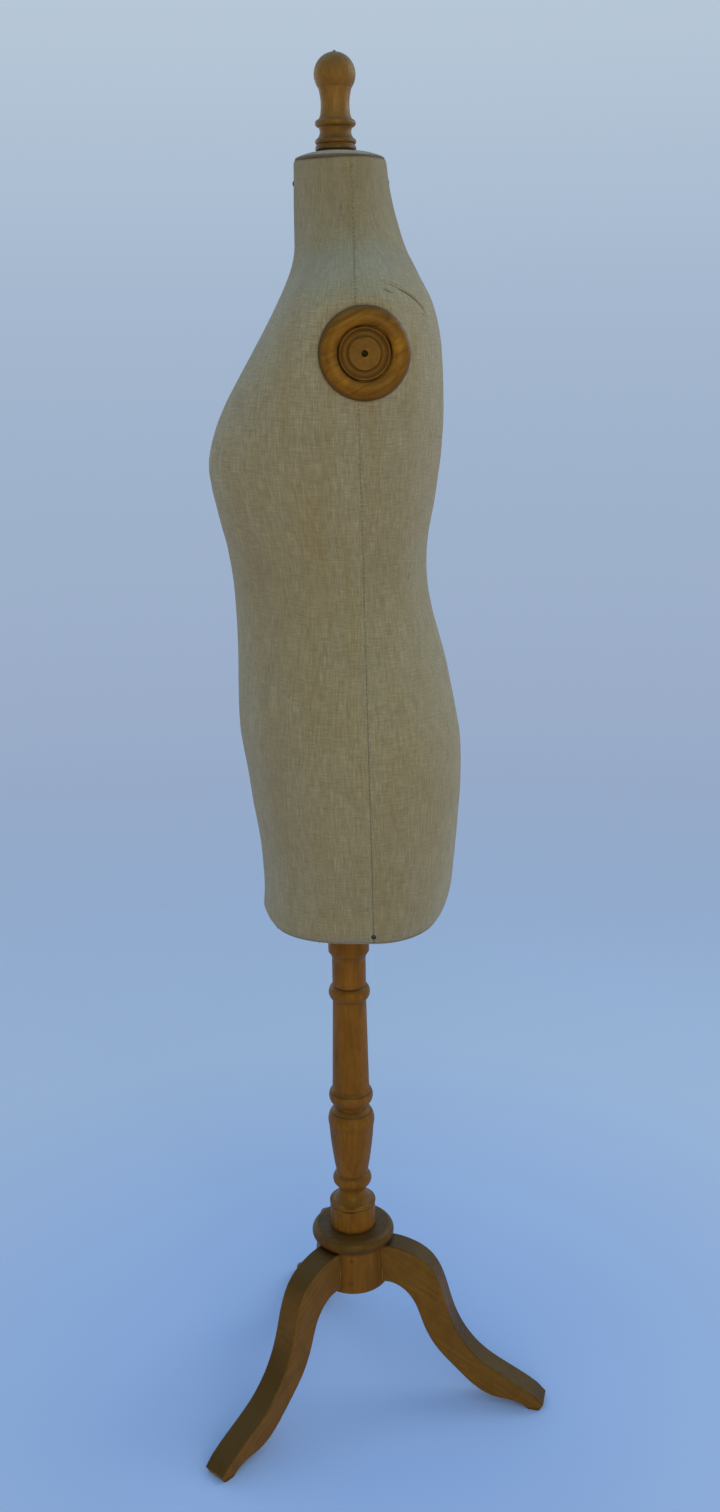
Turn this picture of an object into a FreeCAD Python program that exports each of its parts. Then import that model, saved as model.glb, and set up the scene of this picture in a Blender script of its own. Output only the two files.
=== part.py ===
import FreeCAD, Part
import math
import os
import Sketcher

# A dress form: a linen-covered papier-mache torso that turns and lifts on a turned wooden pole,
# with three curved legs, wooden shoulder caps and a knob that unscrews from the neck.
# Millimetres. The floor is z = 0, the torso faces -Y and its left shoulder is on +X.
# The pole stands off the origin, so that the origin is the middle of the whole object's footprint.

V = FreeCAD.Vector

SIZES = {
    # where the pole stands
    "pole_x": 26.0, "pole_y": -32.5,
    # drum that the legs are fixed to, and the rounded disc on it
    "hub_foot": 156.0, "hub_top": 215.5, "hub_radius": 44.0, "hub_edge": 2.0,
    "disc_top": 234.5, "disc_flat": 46.0, "disc_bulge": 6.5,
    # ring that holds the foot of the pole
    "socket_top": 269.7, "socket_radius": 28.75, "socket_bore": 18.0, "socket_lip": 5.0,
    "socket_lip_out": 0.6, "groove_deep": 0.9,
    # legs and what pins them
    "leg_thick": 32.0, "leg_edge": 2.4, "leg_one_azimuth": -43.3, "leg_pitch": 120.0,
    "dowel_radius": 5.0, "dowel_half": 17.0, "dowel_low": 174.0, "dowel_high": 199.0,
    "peg_radius": 2.4, "peg_azimuth": -3.0, "peg_low": 173.0, "peg_high": 204.0, "peg_tip": 6.0,
    "peg_proud": 0.4,
    # turned pole, from its tenon up
    "tenon_foot": 158.0, "tenon_radius": 13.0, "bell_radius": 27.6, "waist_radius": 16.9,
    "waist_height": 285.0, "bell_curve": 3.2, "low_bead_bottom": 291.5, "low_bead_top": 308.5,
    "low_bead_neck": 20.0, "low_bead_bulge": 4.5, "vase_foot": 314.0, "vase_widest": 377.0,
    "vase_radius": 28.1, "vase_top": 402.0, "vase_neck": 20.5, "vase_swell": 0.9,
    "vase_shoulder": 4.0, "mid_bead_bottom": 406.0, "mid_bead_low_radius": 21.6,
    "mid_bead_top": 428.0, "mid_bead_bulge": 5.2, "shaft_foot_radius": 23.1,
    "shaft_radius": 20.65, "top_bead_bottom": 548.5, "top_bead_top": 568.5,
    "top_bead_bulge": 4.85, "pole_top": 604.0,
    # collar under the torso, and the post that goes up inside
    "collar_ring_low": 613.0, "collar_ring_high": 642.0, "collar_radius": 25.0,
    "collar_cove": 21.5, "collar_cove_top": 652.0, "collar_flange": 33.0,
    "collar_flange_low": 657.0, "collar_top": 673.0,
    "post_radius": 14.0, "post_foot": 540.0, "post_top": 930.0, "post_chamfer": 2.5,
    "post_play": 0.08,
    # felt washer that the torso turns on
    "washer_thick": 3.0, "washer_radius": 31.0, "washer_bore": 14.1,
    # the torso's wall: linen on papier-mache, and its seam between front and back
    "linen_thick": 1.0, "wall_thick": 4.0, "seam_at_waist": 23.5, "seam_tilt": -0.92,
    "waist_level": 1070.0, "plate_x": 161.5,
    "bust_lobe_x": 74.0, "bust_lobe_wide": 46.0, "back_lobe_x": 70.0, "back_lobe_wide": 46.0,
    # boards and blocks inside
    "board_thick": 12.0, "board_bore": 17.0, "board_gap": 0.4, "guide_level": 880.0,
    "block_radius": 45.0, "block_high": 60.0, "screw_ring": 34.0, "screw_radius": 2.2,
    "screw_head": 4.6, "screw_long": 38.0, "screw_sunk": 0.2, "nail_radius": 0.9, "nail_long": 22.0,
    "nail_sunk": 0.5, "nail_first": 20.0, "nail_step": 45.0, "neck_block_foot": 1452.0,
    # linen turned under the hem, and the tacks
    "turning_wide": 20.0, "turning_thick": 1.0, "tack_head": 2.9, "tack_dome": 1.3,
    "tack_shank": 0.8, "tack_long": 9.0, "tack_inset": 12.0, "under_tack_count": 16,
    "hem_tack_level": 686.0,
    "neck_tack_level": 1492.0,
    # shoulder caps and the blocks behind them
    "cap_y": 27.0, "cap_level": 1319.0, "cap_radius": 46.0, "cap_rim": 2.2, "cap_bulge": 5.2,
    "cap_foot_in": 0.6, "cap_rim_round": 0.2, "cap_gap": 0.05,
    "cap_groove": 26.6, "cap_groove_high": 7.0, "cap_lip_out": 25.8, "cap_lip_in": 23.6,
    "cap_lip_high": 8.4, "cap_lip_round": 0.8, "cap_dish_in": 15.9, "cap_dish_high": 8.0,
    "cap_dish_deep": 1.7, "cap_boss": 15.4, "cap_boss_high": 8.7, "spigot_radius": 18.0,
    "spigot_long": 22.0, "spigot_play": 0.1, "peg_hole": 3.5, "peg_hole_deep": 22.0,
    "backing_radius": 40.0, "backing_thick": 20.0,
    # disc that closes the neck
    "neck_top": 1514.0, "neck_disc_y": 4.0, "neck_disc_radius": 49.0, "neck_disc_rim": 3.2,
    "neck_disc_round": 0.9, "neck_seat": 28.0, "neck_disc_top": 1522.6, "neck_dome": 0.7,
    # knob on the neck, with its washer, stud and threaded insert
    "knob_washer_thick": 1.0, "knob_washer_radius": 20.4, "knob_washer_play": 0.3,
    "knob_ring_low": 20.6, "knob_ring_low_top": 1529.0, "knob_groove": 20.2,
    "knob_groove_top": 1530.2,
    "knob_ring_bulge": 1.2, "knob_ring_high": 20.9, "knob_ring_top": 1535.2,
    "knob_cove": 18.0, "knob_cove_top": 1547.2, "knob_cove_deep": 2.6, "knob_bead_top": 1554.8,
    "knob_bead_bulge": 3.6, "knob_stem": 15.5, "knob_stem_level": 1563.0, "knob_stem_deep": 0.6,
    "ball_radius": 21.9, "ball_level": 1598.6, "ball_join": 1585.5, "ball_join_in": 1.2,
    "stud_radius": 5.0, "stud_foot": 1499.0, "stud_top": 1550.0,
    "insert_foot": 1500.0, "insert_radius": 7.0, "insert_play": 0.06, "insert_flange": 10.0,
    "insert_flange_thick": 1.5, "stud_room": 6.0, "stud_room_foot": 1480.0,
}

# Horizontal outlines of the torso, from the hem up: height, how far it reaches in front of and
# behind the pole, half its width, how square its front and back corners are (2 is an ellipse),
# and how far the two front and the two back swellings stand out from the middle.
STATION_SIZES = (
    "level", "front", "back", "half", "front_square", "back_square", "front_lobe", "back_lobe",
)
STATIONS = {
    "hem_edge": (676.0, 92.0, 111.0, 129.0, 2.85, 2.2, 0.0, 0.0),
    "hem": (684.0, 97.5, 116.5, 135.0, 2.8, 2.2, 0.0, 0.0),
    "hem_side": (712.0, 98.5, 123.0, 139.5, 2.6, 2.3, 0.0, 2.0),
    "thigh": (767.0, 102.0, 127.0, 149.0, 2.4, 2.3, 0.0, 5.0),
    "seat_low": (812.0, 109.0, 129.5, 156.0, 2.3, 2.3, 0.0, 9.0),
    "seat": (856.0, 115.0, 131.3, 160.5, 2.2, 2.3, 0.0, 11.0),
    "hip": (900.0, 121.5, 130.0, 160.5, 2.15, 2.3, 0.0, 10.0),
    "belly": (943.0, 122.5, 123.6, 154.0, 2.1, 2.2, 0.0, 6.0),
    "abdomen": (986.0, 121.5, 115.0, 141.5, 2.1, 2.15, 0.0, 3.0),
    "loin": (1028.0, 122.0, 103.5, 126.5, 2.1, 2.1, 0.0, 2.0),
    "waist": (1070.0, 124.0, 94.0, 116.0, 2.1, 2.1, 1.0, 2.0),
    "ribs": (1112.0, 129.5, 95.3, 119.5, 2.2, 2.15, 4.0, 2.0),
    "under_bust": (1158.0, 137.2, 103.2, 128.5, 2.3, 2.2, 11.0, 3.0),
    "bust": (1204.0, 141.5, 109.0, 141.0, 2.35, 2.3, 15.0, 4.0),
    "over_bust": (1250.0, 129.5, 111.3, 155.0, 2.4, 2.5, 10.0, 6.0),
    "armpit": (1295.0, 106.5, 110.5, 167.5, 2.55, 2.8, 4.0, 7.0),
    "chest": (1335.0, 84.0, 107.3, 170.0, 2.6, 2.9, 1.0, 7.0),
    "shoulder": (1370.0, 63.5, 98.5, 161.5, 2.7, 2.8, 0.0, 6.0),
    "shoulder_top": (1392.0, 52.0, 88.3, 137.0, 2.5, 2.5, 0.0, 4.0),
    "shoulder_slope": (1410.0, 46.3, 80.8, 101.5, 2.3, 2.3, 0.0, 2.0),
    "neck_base": (1429.0, 46.0, 72.0, 68.5, 2.1, 2.1, 0.0, 0.0),
    "neck_low": (1450.0, 46.0, 65.5, 56.5, 2.0, 2.0, 0.0, 0.0),
    "neck": (1480.0, 45.6, 57.0, 51.0, 2.0, 2.0, 0.0, 0.0),
    "neck_rim": (1514.0, 45.0, 53.0, 49.0, 2.0, 2.0, 0.0, 0.0),
}
# Swellings fade out towards the seam, over this share of the depth there.
LOBE_FADE = 0.35
POINTS_ROUND = 32
ROW_SPACING = 24.0
# Wider and taller than any part of the torso, for solids that only cut.
ROOMY = 500.0
TALL = 1100.0
PAST = 10.0

# The leg's back and belly in its own upright plane: distance from the pole, height.
LEG_BACK = ((38, 215), (71, 211), (100, 195), (118, 163), (128.5, 127), (144, 93), (170, 63),
            (205, 41), (241, 19))
LEG_BELLY = ((226, 4), (210, 9), (182, 13), (158, 27), (138, 46), (110.5, 76), (94, 108.5),
             (81, 140.5), (65, 157), (38, 161))
TOE = (251.5, 8.0)
SOLE = (231.0, 247.0)
LEG_NAMES = ("leg_left_front", "leg_rear", "leg_right")


class Size(float):
    """A length that also knows the spreadsheet expression it comes from."""

    def __new__(cls, number, text):
        made = super().__new__(cls, number)
        made.text = text
        return made


def expression(value):
    return value.text if isinstance(value, Size) else repr(value)


def give_size_arithmetic():
    """Sums, differences, products and quotients of sizes stay tied to the sheet."""
    rules = {
        "add": ("+", lambda a, b: a + b),
        "sub": ("-", lambda a, b: a - b),
        "mul": ("*", lambda a, b: a * b),
        "truediv": ("/", lambda a, b: a / b),
    }
    for name, (sign, rule) in rules.items():
        def worked(a, b, sign=sign, rule=rule):
            return Size(rule(float(a), float(b)), f"({expression(a)} {sign} {expression(b)})")

        setattr(Size, f"__{name}__", worked)
        setattr(Size, f"__r{name}__", lambda a, b, worked=worked: worked(b, a))


def make_sheet(doc):
    """The spreadsheet of driving dimensions, and a dictionary of the same names as sizes."""
    values = dict(SIZES)
    for station, numbers in STATIONS.items():
        for name, number in zip(STATION_SIZES, numbers):
            values[f"{station}_{name}"] = number
    sheet = doc.addObject("Spreadsheet::Sheet", "sizes")
    for row, (name, number) in enumerate(values.items(), 1):
        sheet.set(f"A{row}", name)
        sheet.set(f"B{row}", str(number))
        sheet.setAlias(f"B{row}", name)
    doc.recompute()
    return {name: Size(sheet.get(name), f"<<sizes>>.{name}") for name in values}


def bind(thing, **sizes):
    for name, value in sizes.items():
        setattr(thing, name, float(value))
        if isinstance(value, Size):
            thing.setExpression(name, value.text)


def place(thing, x=0.0, y=0.0, z=0.0, turn=FreeCAD.Rotation()):
    """Puts a piece at a point given from the foot of the pole, turned as asked."""
    base = (s["pole_x"] + x, s["pole_y"] + y, z)
    thing.Placement = FreeCAD.Placement(V(*(float(b) for b in base)), turn)
    for axis, value in zip("xyz", base):
        if isinstance(value, Size):
            thing.setExpression(f"Placement.Base.{axis}", value.text)
    return thing


def azimuth_turn(azimuth):
    return FreeCAD.Rotation(V(0, 0, 1), float(azimuth))


# ---- sketches and turned pieces ----

def sketch_on(body, name, role, offset=FreeCAD.Placement()):
    sketch = body.newObject("Sketcher::SketchObject", name)
    plane = next(f for f in body.Origin.OriginFeatures if f.Role == role)
    sketch.AttachmentSupport = [(plane, "")]
    sketch.MapMode = "FlatFace"
    sketch.AttachmentOffset = offset
    return sketch


def arc_between(start, end, bulge):
    """An arc that stands out to the right of the way from start to end by bulge."""
    way = end - start
    side = V(way.y, -way.x, 0).normalize()
    radius = (way.Length ** 2 / 4 + bulge ** 2) / (2 * bulge)
    centre = (start + end) / 2 + side * (bulge - radius)
    low, high = (start, end) if bulge > 0 else (end, start)
    angles = [math.atan2(p.y - centre.y, p.x - centre.x) for p in (low, high)]
    return Part.ArcOfCircle(Part.Circle(centre, V(0, 0, 1), abs(radius)), *angles)


def arc_radius(start, end, bulge):
    across, up = end[0] - start[0], end[1] - start[1]
    radius = ((across * across + up * up) / 4 + bulge * bulge) / (bulge * 2)
    return radius if float(radius) > 0 else radius * -1


def draw_outline(sketch, marks):
    """A closed outline through marks (radius, height) or (radius, height, bulge), counterclockwise.
    A bulge makes the side that ends at its mark an arc. Every mark is tied to the sheet."""
    points = [V(float(m[0]), float(m[1]), 0) for m in marks]
    sides = []
    for i, mark in enumerate(marks):
        start, end = points[i - 1], points[i]
        bulge = mark[2] if len(mark) > 2 else None
        side = Part.LineSegment(start, end) if bulge is None else arc_between(start, end, float(bulge))
        index = sketch.addGeometry(side, False)
        backwards = bulge is not None and float(bulge) < 0
        sides.append((index, 2 if backwards else 1, 1 if backwards else 2, bulge))
    ties = []
    for i, (index, first, _, bulge) in enumerate(sides):
        before, _, last, _ = sides[i - 1]
        radius, height = marks[i - 1][:2]
        ties.append((Sketcher.Constraint("Coincident", before, last, index, first), None))
        if float(radius) == 0:
            ties.append((Sketcher.Constraint("PointOnObject", index, first, -2), None))
        else:
            ties.append((Sketcher.Constraint("DistanceX", -1, 1, index, first, float(radius)), radius))
        if float(height) == 0:
            ties.append((Sketcher.Constraint("PointOnObject", index, first, -1), None))
        else:
            ties.append((Sketcher.Constraint("DistanceY", -1, 1, index, first, float(height)), height))
        if bulge is not None:
            bend = arc_radius(marks[i - 1], marks[i], bulge)
            ties.append((Sketcher.Constraint("Radius", index, float(bend)), bend))
    numbers = sketch.addConstraint([tie for tie, _ in ties])
    for number, (_, value) in zip(numbers, ties):
        if isinstance(value, Size):
            sketch.setExpression(f"Constraints[{number}]", value.text)


def turned(name, marks):
    """A piece turned on a lathe: the outline's marks are (radius, height) from its own axis."""
    body = doc.addObject("PartDesign::Body", name)
    sketch = sketch_on(body, f"{name}_outline", "XZ_Plane")
    draw_outline(sketch, marks)
    turning = body.newObject("PartDesign::Revolution", f"{name}_turning")
    turning.Profile = sketch
    turning.ReferenceAxis = (sketch, ["V_Axis"])
    turning.Angle = 360
    doc.recompute()
    return body


def cut_away(body, feature):
    """Recomputes a pocket or groove, and turns it round if it cuts nothing."""
    solids = [f for f in body.Group if hasattr(f, "AddSubShape") and f != feature]
    before = solids[-1].Shape.Volume
    doc.recompute()
    if feature.Shape.isNull() or feature.Shape.Volume > before - 1:
        feature.Reversed = not feature.Reversed
        doc.recompute()
    if feature.Shape.isNull() or feature.Shape.Volume > before - 1:
        raise RuntimeError(f"{feature.Name} cuts nothing")


def drill(body, name, role, spots, radius, depth, offset=FreeCAD.Placement()):
    """Round holes at spots (across, up) of a sketch on one of the body's own planes."""
    sketch = sketch_on(body, f"{name}_sketch", role, offset)
    for across, up in spots:
        index = sketch.addGeometry(
            Part.Circle(V(float(across), float(up), 0), V(0, 0, 1), float(radius)), False)
        ties = [(Sketcher.Constraint("Radius", index, float(radius)), radius)]
        for kind, value in (("DistanceX", across), ("DistanceY", up)):
            if float(value) == 0:
                axis = -2 if kind == "DistanceX" else -1
                ties.append((Sketcher.Constraint("PointOnObject", index, 3, axis), None))
            else:
                ties.append((Sketcher.Constraint(kind, -1, 1, index, 3, float(value)), value))
        numbers = sketch.addConstraint([tie for tie, _ in ties])
        for number, (_, value) in zip(numbers, ties):
            if isinstance(value, Size):
                sketch.setExpression(f"Constraints[{number}]", value.text)
    pocket = body.newObject("PartDesign::Pocket", name)
    pocket.Profile = sketch
    bind(pocket, Length=depth)
    pocket.Reversed = True
    cut_away(body, pocket)


def drill_from_side(body, name, azimuth, start, depth, heights, radius):
    """Level holes that run outwards from a distance off the body's axis, at an azimuth."""
    turn = FreeCAD.Rotation(V(0, 1, 0), float(azimuth))
    offset = FreeCAD.Placement(turn.multVec(V(0, 0, float(start))), turn)
    drill(body, name, "YZ_Plane", [(0, h) for h in heights], radius, depth, offset)


# ---- the stand ----

def leg_azimuths():
    return [float(s["leg_one_azimuth"] + s["leg_pitch"] * i) for i in range(len(LEG_NAMES))]


def hub_body():
    body = turned("hub_body", [
        (s["tenon_radius"], s["hub_foot"]),
        (s["hub_radius"] - s["hub_edge"], s["hub_foot"]),
        (s["hub_radius"], s["hub_foot"] + s["hub_edge"]),
        (s["hub_radius"], s["hub_top"]),
        (s["tenon_radius"], s["hub_top"]),
    ])
    for name, azimuth in zip(LEG_NAMES, leg_azimuths()):
        drill_from_side(body, f"{name}_dowel_holes", azimuth, s["hub_radius"] - s["dowel_half"],
                        s["dowel_half"] * 2, (s["dowel_low"], s["dowel_high"]), s["dowel_radius"])
    drill_from_side(body, "peg_holes", s["peg_azimuth"], s["tenon_radius"] - 1, s["hub_radius"],
                    (s["peg_low"], s["peg_high"]), s["peg_radius"])
    place(body)


def hub_disc():
    place(turned("hub_disc", [
        (s["tenon_radius"], s["hub_top"]),
        (s["disc_flat"], s["hub_top"]),
        (s["disc_flat"], s["disc_top"], s["disc_bulge"]),
        (s["tenon_radius"], s["disc_top"]),
    ]))


def pole_socket():
    lip_low = s["socket_top"] - s["socket_lip"]
    place(turned("pole_socket", [
        (s["socket_bore"], s["disc_top"]),
        (s["socket_radius"], s["disc_top"]),
        (s["socket_radius"], lip_low - s["groove_deep"]),
        (s["socket_radius"] - s["groove_deep"], lip_low),
        (s["socket_radius"], lip_low + s["groove_deep"]),
        (s["socket_radius"], s["socket_top"], s["socket_lip_out"]),
        (s["socket_bore"], s["socket_top"]),
    ]))


def column():
    body = turned("column", [
        (0, s["tenon_foot"]),
        (s["tenon_radius"], s["tenon_foot"]),
        (s["tenon_radius"], s["disc_top"]),
        (s["socket_bore"], s["disc_top"]),
        (s["socket_bore"], s["socket_top"]),
        (s["bell_radius"], s["socket_top"]),
        (s["waist_radius"], s["waist_height"], s["bell_curve"] * -1),
        (s["low_bead_neck"], s["low_bead_bottom"]),
        (s["low_bead_neck"], s["low_bead_top"], s["low_bead_bulge"]),
        (s["vase_neck"], s["vase_foot"]),
        (s["vase_radius"], s["vase_widest"], s["vase_swell"]),
        (s["vase_neck"], s["vase_top"], s["vase_shoulder"]),
        (s["mid_bead_low_radius"], s["mid_bead_bottom"]),
        (s["shaft_foot_radius"], s["mid_bead_top"], s["mid_bead_bulge"]),
        (s["shaft_radius"], s["top_bead_bottom"]),
        (s["shaft_radius"], s["top_bead_top"], s["top_bead_bulge"]),
        (s["shaft_radius"], s["pole_top"]),
        (s["post_radius"], s["pole_top"]),
        (s["post_radius"], s["post_foot"]),
        (0, s["post_foot"]),
    ])
    drill_from_side(body, "tenon_peg_holes", s["peg_azimuth"], s["peg_tip"], s["tenon_radius"],
                    (s["peg_low"], s["peg_high"]), s["peg_radius"])
    place(body)


def pole_collar():
    place(turned("pole_collar", [
        (s["post_radius"], s["pole_top"]),
        (s["shaft_radius"], s["pole_top"]),
        (s["collar_radius"], s["collar_ring_low"], s["socket_lip_out"] * -1),
        (s["collar_radius"], s["collar_ring_high"]),
        (s["collar_cove"], s["collar_cove_top"], s["socket_lip_out"] * -1),
        (s["collar_flange"], s["collar_flange_low"]),
        (s["collar_flange"], s["collar_top"]),
        (s["post_radius"], s["collar_top"]),
    ]))


def inner_post():
    place(turned("inner_post", [
        (0, s["post_foot"]),
        (s["post_radius"], s["post_foot"]),
        (s["post_radius"], s["post_top"] - s["post_chamfer"]),
        (s["post_radius"] - s["post_chamfer"], s["post_top"]),
        (0, s["post_top"]),
    ]))


def smooth_curve(points):
    curve = Part.BSplineCurve()
    curve.interpolate([V(x, z, 0) for x, z in points])
    return curve


def leg(name, azimuth):
    """A leg sawn from a plank: flat sides, a long S for its back and belly, a blunt toe on a flat sole."""
    body = doc.addObject("PartDesign::Body", name)
    sketch = sketch_on(body, f"{name}_outline", "XZ_Plane")
    back, belly = smooth_curve(LEG_BACK), smooth_curve(LEG_BELLY)
    toe = [V(*LEG_BACK[-1], 0), V(*TOE, 0), V(SOLE[1], 0, 0)]
    sides = [
        back,
        Part.LineSegment(toe[0], toe[1]),
        Part.LineSegment(toe[1], toe[2]),
        Part.LineSegment(toe[2], V(SOLE[0], 0, 0)),
        Part.LineSegment(V(SOLE[0], 0, 0), V(*LEG_BELLY[0], 0)),
        belly,
        Part.LineSegment(V(*LEG_BELLY[-1], 0), V(*LEG_BACK[0], 0)),
    ]
    for side in sides:
        sketch.addGeometry(side, False)
    for index in range(len(sides)):
        sketch.addConstraint(
            Sketcher.Constraint("Coincident", index, 2, (index + 1) % len(sides), 1))
    plank = body.newObject("PartDesign::Pad", f"{name}_plank")
    plank.Profile = sketch
    plank.Midplane = True
    bind(plank, Length=s["leg_thick"])
    doc.recompute()
    half = float(s["leg_thick"]) / 2
    long_edges = [
        f"Edge{i}" for i, edge in enumerate(plank.Shape.Edges, 1)
        if all(abs(abs(v.Y) - half) < 0.01 for v in edge.Vertexes)
        and abs(edge.Vertexes[0].Y - edge.Vertexes[-1].Y) < 0.01
        and edge.BoundBox.ZMax > 1 and edge.BoundBox.XMax > float(s["hub_radius"])
    ]
    rounding = body.newObject("PartDesign::Fillet", f"{name}_softened_edges")
    rounding.Base = (plank, long_edges)
    bind(rounding, Radius=s["leg_edge"])
    doc.recompute()
    if rounding.Shape.isNull() or not rounding.Shape.isValid():
        raise RuntimeError(f"{name}: the edges can't be rounded")
    groove_sketch = sketch_on(body, f"{name}_seat_sketch", "XZ_Plane")
    draw_outline(groove_sketch, [
        (0, s["hub_foot"] - PAST), (s["hub_radius"], s["hub_foot"] - PAST),
        (s["hub_radius"], s["hub_top"] + PAST), (0, s["hub_top"] + PAST),
    ])
    seat = body.newObject("PartDesign::Groove", f"{name}_hub_seat")
    seat.Profile = groove_sketch
    seat.ReferenceAxis = (groove_sketch, ["V_Axis"])
    seat.Angle = 360
    cut_away(body, seat)
    drill_from_side(body, f"{name}_holes", 0, s["hub_radius"] - 3, s["dowel_half"] + 3,
                    (s["dowel_low"], s["dowel_high"]), s["dowel_radius"])
    place(body, turn=azimuth_turn(azimuth))


def rod(name, radius, length, start, direction):
    """A plain round rod that starts at a point given from the foot of the pole."""
    piece = doc.addObject("Part::Cylinder", name)
    bind(piece, Radius=radius, Height=length)
    return place(piece, *start, turn=FreeCAD.Rotation(V(0, 0, 1), direction))


def group(name, pieces):
    made = doc.addObject("Part::Compound", name)
    made.Links = pieces
    return made


def level_rods(name, azimuths, heights, start, length, radius):
    """Level rods that point away from the pole, as one group."""
    rods = []
    for azimuth in azimuths:
        angle = math.radians(float(azimuth))
        way = V(math.cos(angle), math.sin(angle), 0)
        for height in heights:
            foot = (float(start) * way.x, float(start) * way.y, height)
            rods.append(rod(f"{name}_{len(rods) + 1}", radius, length, foot, way))
    group(name, rods)


# ---- the torso's surface ----

def seam_at(level):
    """Where the seam between front and back runs, behind the pole, at a height."""
    slope = math.tan(math.radians(float(s["seam_tilt"])))
    return float(s["seam_at_waist"]) + slope * (level - float(s["waist_level"]))


def station_levels():
    return [float(s[f"{station}_level"]) for station in STATIONS]


def size_between(name, level):
    """One of the outline's sizes at any height: a smooth curve through the stations on each side."""
    levels = station_levels()
    values = [float(s[f"{station}_{name}"]) for station in STATIONS]
    low = max(i for i, known in enumerate(levels[:-1]) if known <= level)

    def slope(i):
        before, after = max(i - 1, 0), min(i + 1, len(levels) - 1)
        return (values[after] - values[before]) / (levels[after] - levels[before])

    gap = levels[low + 1] - levels[low]
    t = (level - levels[low]) / gap
    return ((2 * t ** 3 - 3 * t ** 2 + 1) * values[low] + (3 * t ** 2 - 2 * t ** 3) * values[low + 1]
            + ((t ** 3 - 2 * t ** 2 + t) * slope(low) + (t ** 3 - t ** 2) * slope(low + 1)) * gap)


def row_levels():
    """The stations' heights and evenly spaced ones between them."""
    levels = station_levels()
    rows = []
    for low, high in zip(levels, levels[1:]):
        steps = math.ceil((high - low) / ROW_SPACING)
        rows += [low + (high - low) * i / steps for i in range(steps)]
    return rows + [levels[-1]]


def outline_points(level):
    """The torso's outline at a height. Its reach in front and behind includes the swellings."""
    size = {name: size_between(name, level) for name in STATION_SIZES[1:]}
    half = size["half"]
    seam = seam_at(level)
    points = []
    for side, reach, square, lobe, lobe_x, lobe_wide in (
        (1, size["back"] - seam, size["back_square"], size["back_lobe"],
         float(s["back_lobe_x"]), float(s["back_lobe_wide"])),
        (-1, size["front"] + seam, size["front_square"], size["front_lobe"],
         float(s["bust_lobe_x"]), float(s["bust_lobe_wide"])),
    ):
        turns = [math.pi * i / (POINTS_ROUND // 2) for i in range(POINTS_ROUND // 2)]

        def half_outline(depth):
            made = []
            for turn in turns:
                across, along = abs(math.cos(turn)) / half, abs(math.sin(turn)) / depth
                radius = (across ** square + along ** square) ** (-1 / square)
                x, y = radius * math.cos(turn), radius * math.sin(turn)
                swell = lobe * math.exp(-(((abs(x) - lobe_x) / lobe_wide) ** 2))
                made.append((x, y + swell * min(1.0, y / (LOBE_FADE * depth))))
            return made

        depth = reach
        for _ in range(6):
            depth += reach - max(y for _, y in half_outline(depth))
        points += [V(side * x, seam + side * y, level) for x, y in half_outline(depth)]
    return points


def closed_curve(points):
    """A smooth closed curve. Even parameters let a loft join such curves without new knots."""
    curve = Part.BSplineCurve()
    even = [i / len(points) for i in range(len(points) + 1)]
    curve.interpolate(Points=points, PeriodicFlag=True, Parameters=even)
    return Part.Wire(curve.toShape())


def loft(rows):
    return Part.makeLoft([closed_curve(row) for row in rows], True, False)


def inward_rows(rows, depth):
    """The stations' points moved a depth into the torso, square to its surface."""
    last = len(rows) - 1
    moved = []
    for number, row in enumerate(rows):
        below, above = rows[max(number - 1, 0)], rows[min(number + 1, last)]
        new_row = []
        for i, point in enumerate(row):
            around = row[(i + 1) % len(row)] - row[i - 1]
            up = V(0, 0, 1)
            if 0 < number < last:
                rise_below, rise_above = point.z - below[i].z, above[i].z - point.z
                up = ((point - below[i]) * (rise_above / rise_below)
                      + (above[i] - point) * (rise_below / rise_above))
            new_row.append(point - around.cross(up).normalize() * depth)
        moved.append(new_row)
    return moved


def form_solid(name, shape, depth):
    """The torso's solid at a depth under the linen's surface, flat where the shoulder caps sit."""
    raw = doc.addObject("Part::Feature", f"{name}_raw")
    raw.Shape = shape
    place(raw)
    flats = doc.addObject("Part::Box", f"{name}_flats")
    low, high = s["hem_edge_level"] - PAST, s["neck_rim_level"] + PAST
    wide = (s["plate_x"] - depth) * 2
    bind(flats, Length=wide, Width=ROOMY, Height=high - low)
    place(flats, wide * -0.5, -ROOMY / 2, low)
    return common(name, raw, flats)


def boolean(kind, name, base, tool):
    made = doc.addObject(kind, name)
    made.Base = base
    made.Tool = tool
    return made


def cut(name, base, tool):
    return boolean("Part::Cut", name, base, tool)


def common(name, base, tool):
    made = doc.addObject("Part::MultiCommon", name)
    made.Shapes = [base, tool]
    return made


def slab(name, low, thick):
    """A wide level slab for cutting boards out of the torso's inside."""
    piece = doc.addObject("Part::Box", name)
    bind(piece, Length=ROOMY, Width=ROOMY, Height=thick)
    return place(piece, -ROOMY / 2, -ROOMY / 2, low)


def upright(name, low, high, radius, x=0.0, y=0.0):
    return rod(name, radius, high - low, (x, y, low), V(0, 0, 1))


def walls(outer, middle, inner):
    """Linen cover and papier-mache shell, each a front and a back piece that meet at the side seam."""
    front_half = doc.addObject("Part::Box", "front_half")
    bind(front_half, Length=ROOMY, Width=ROOMY, Height=TALL)
    tilt = FreeCAD.Rotation(V(1, 0, 0), -float(s["seam_tilt"]))
    low = float(s["pole_top"])
    foot = V(-ROOMY / 2, seam_at(low), low) + tilt.multVec(V(0, -ROOMY, 0))
    place(front_half, foot.x, foot.y, foot.z, turn=tilt)
    spigots = rod("spigot_holes", s["spigot_radius"] + s["spigot_play"], ROOMY,
                  (-ROOMY / 2, s["cap_y"], s["cap_level"]), V(1, 0, 0))
    for name, outside, inside in (("cover", outer, middle), ("shell", middle, inner)):
        skin = cut(f"{name}_whole", cut(f"{name}_closed", outside, inside), spigots)
        common(f"{name}_front", skin, front_half)
        cut(f"{name}_back", skin, front_half)


# ---- what is inside the torso ----

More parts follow.
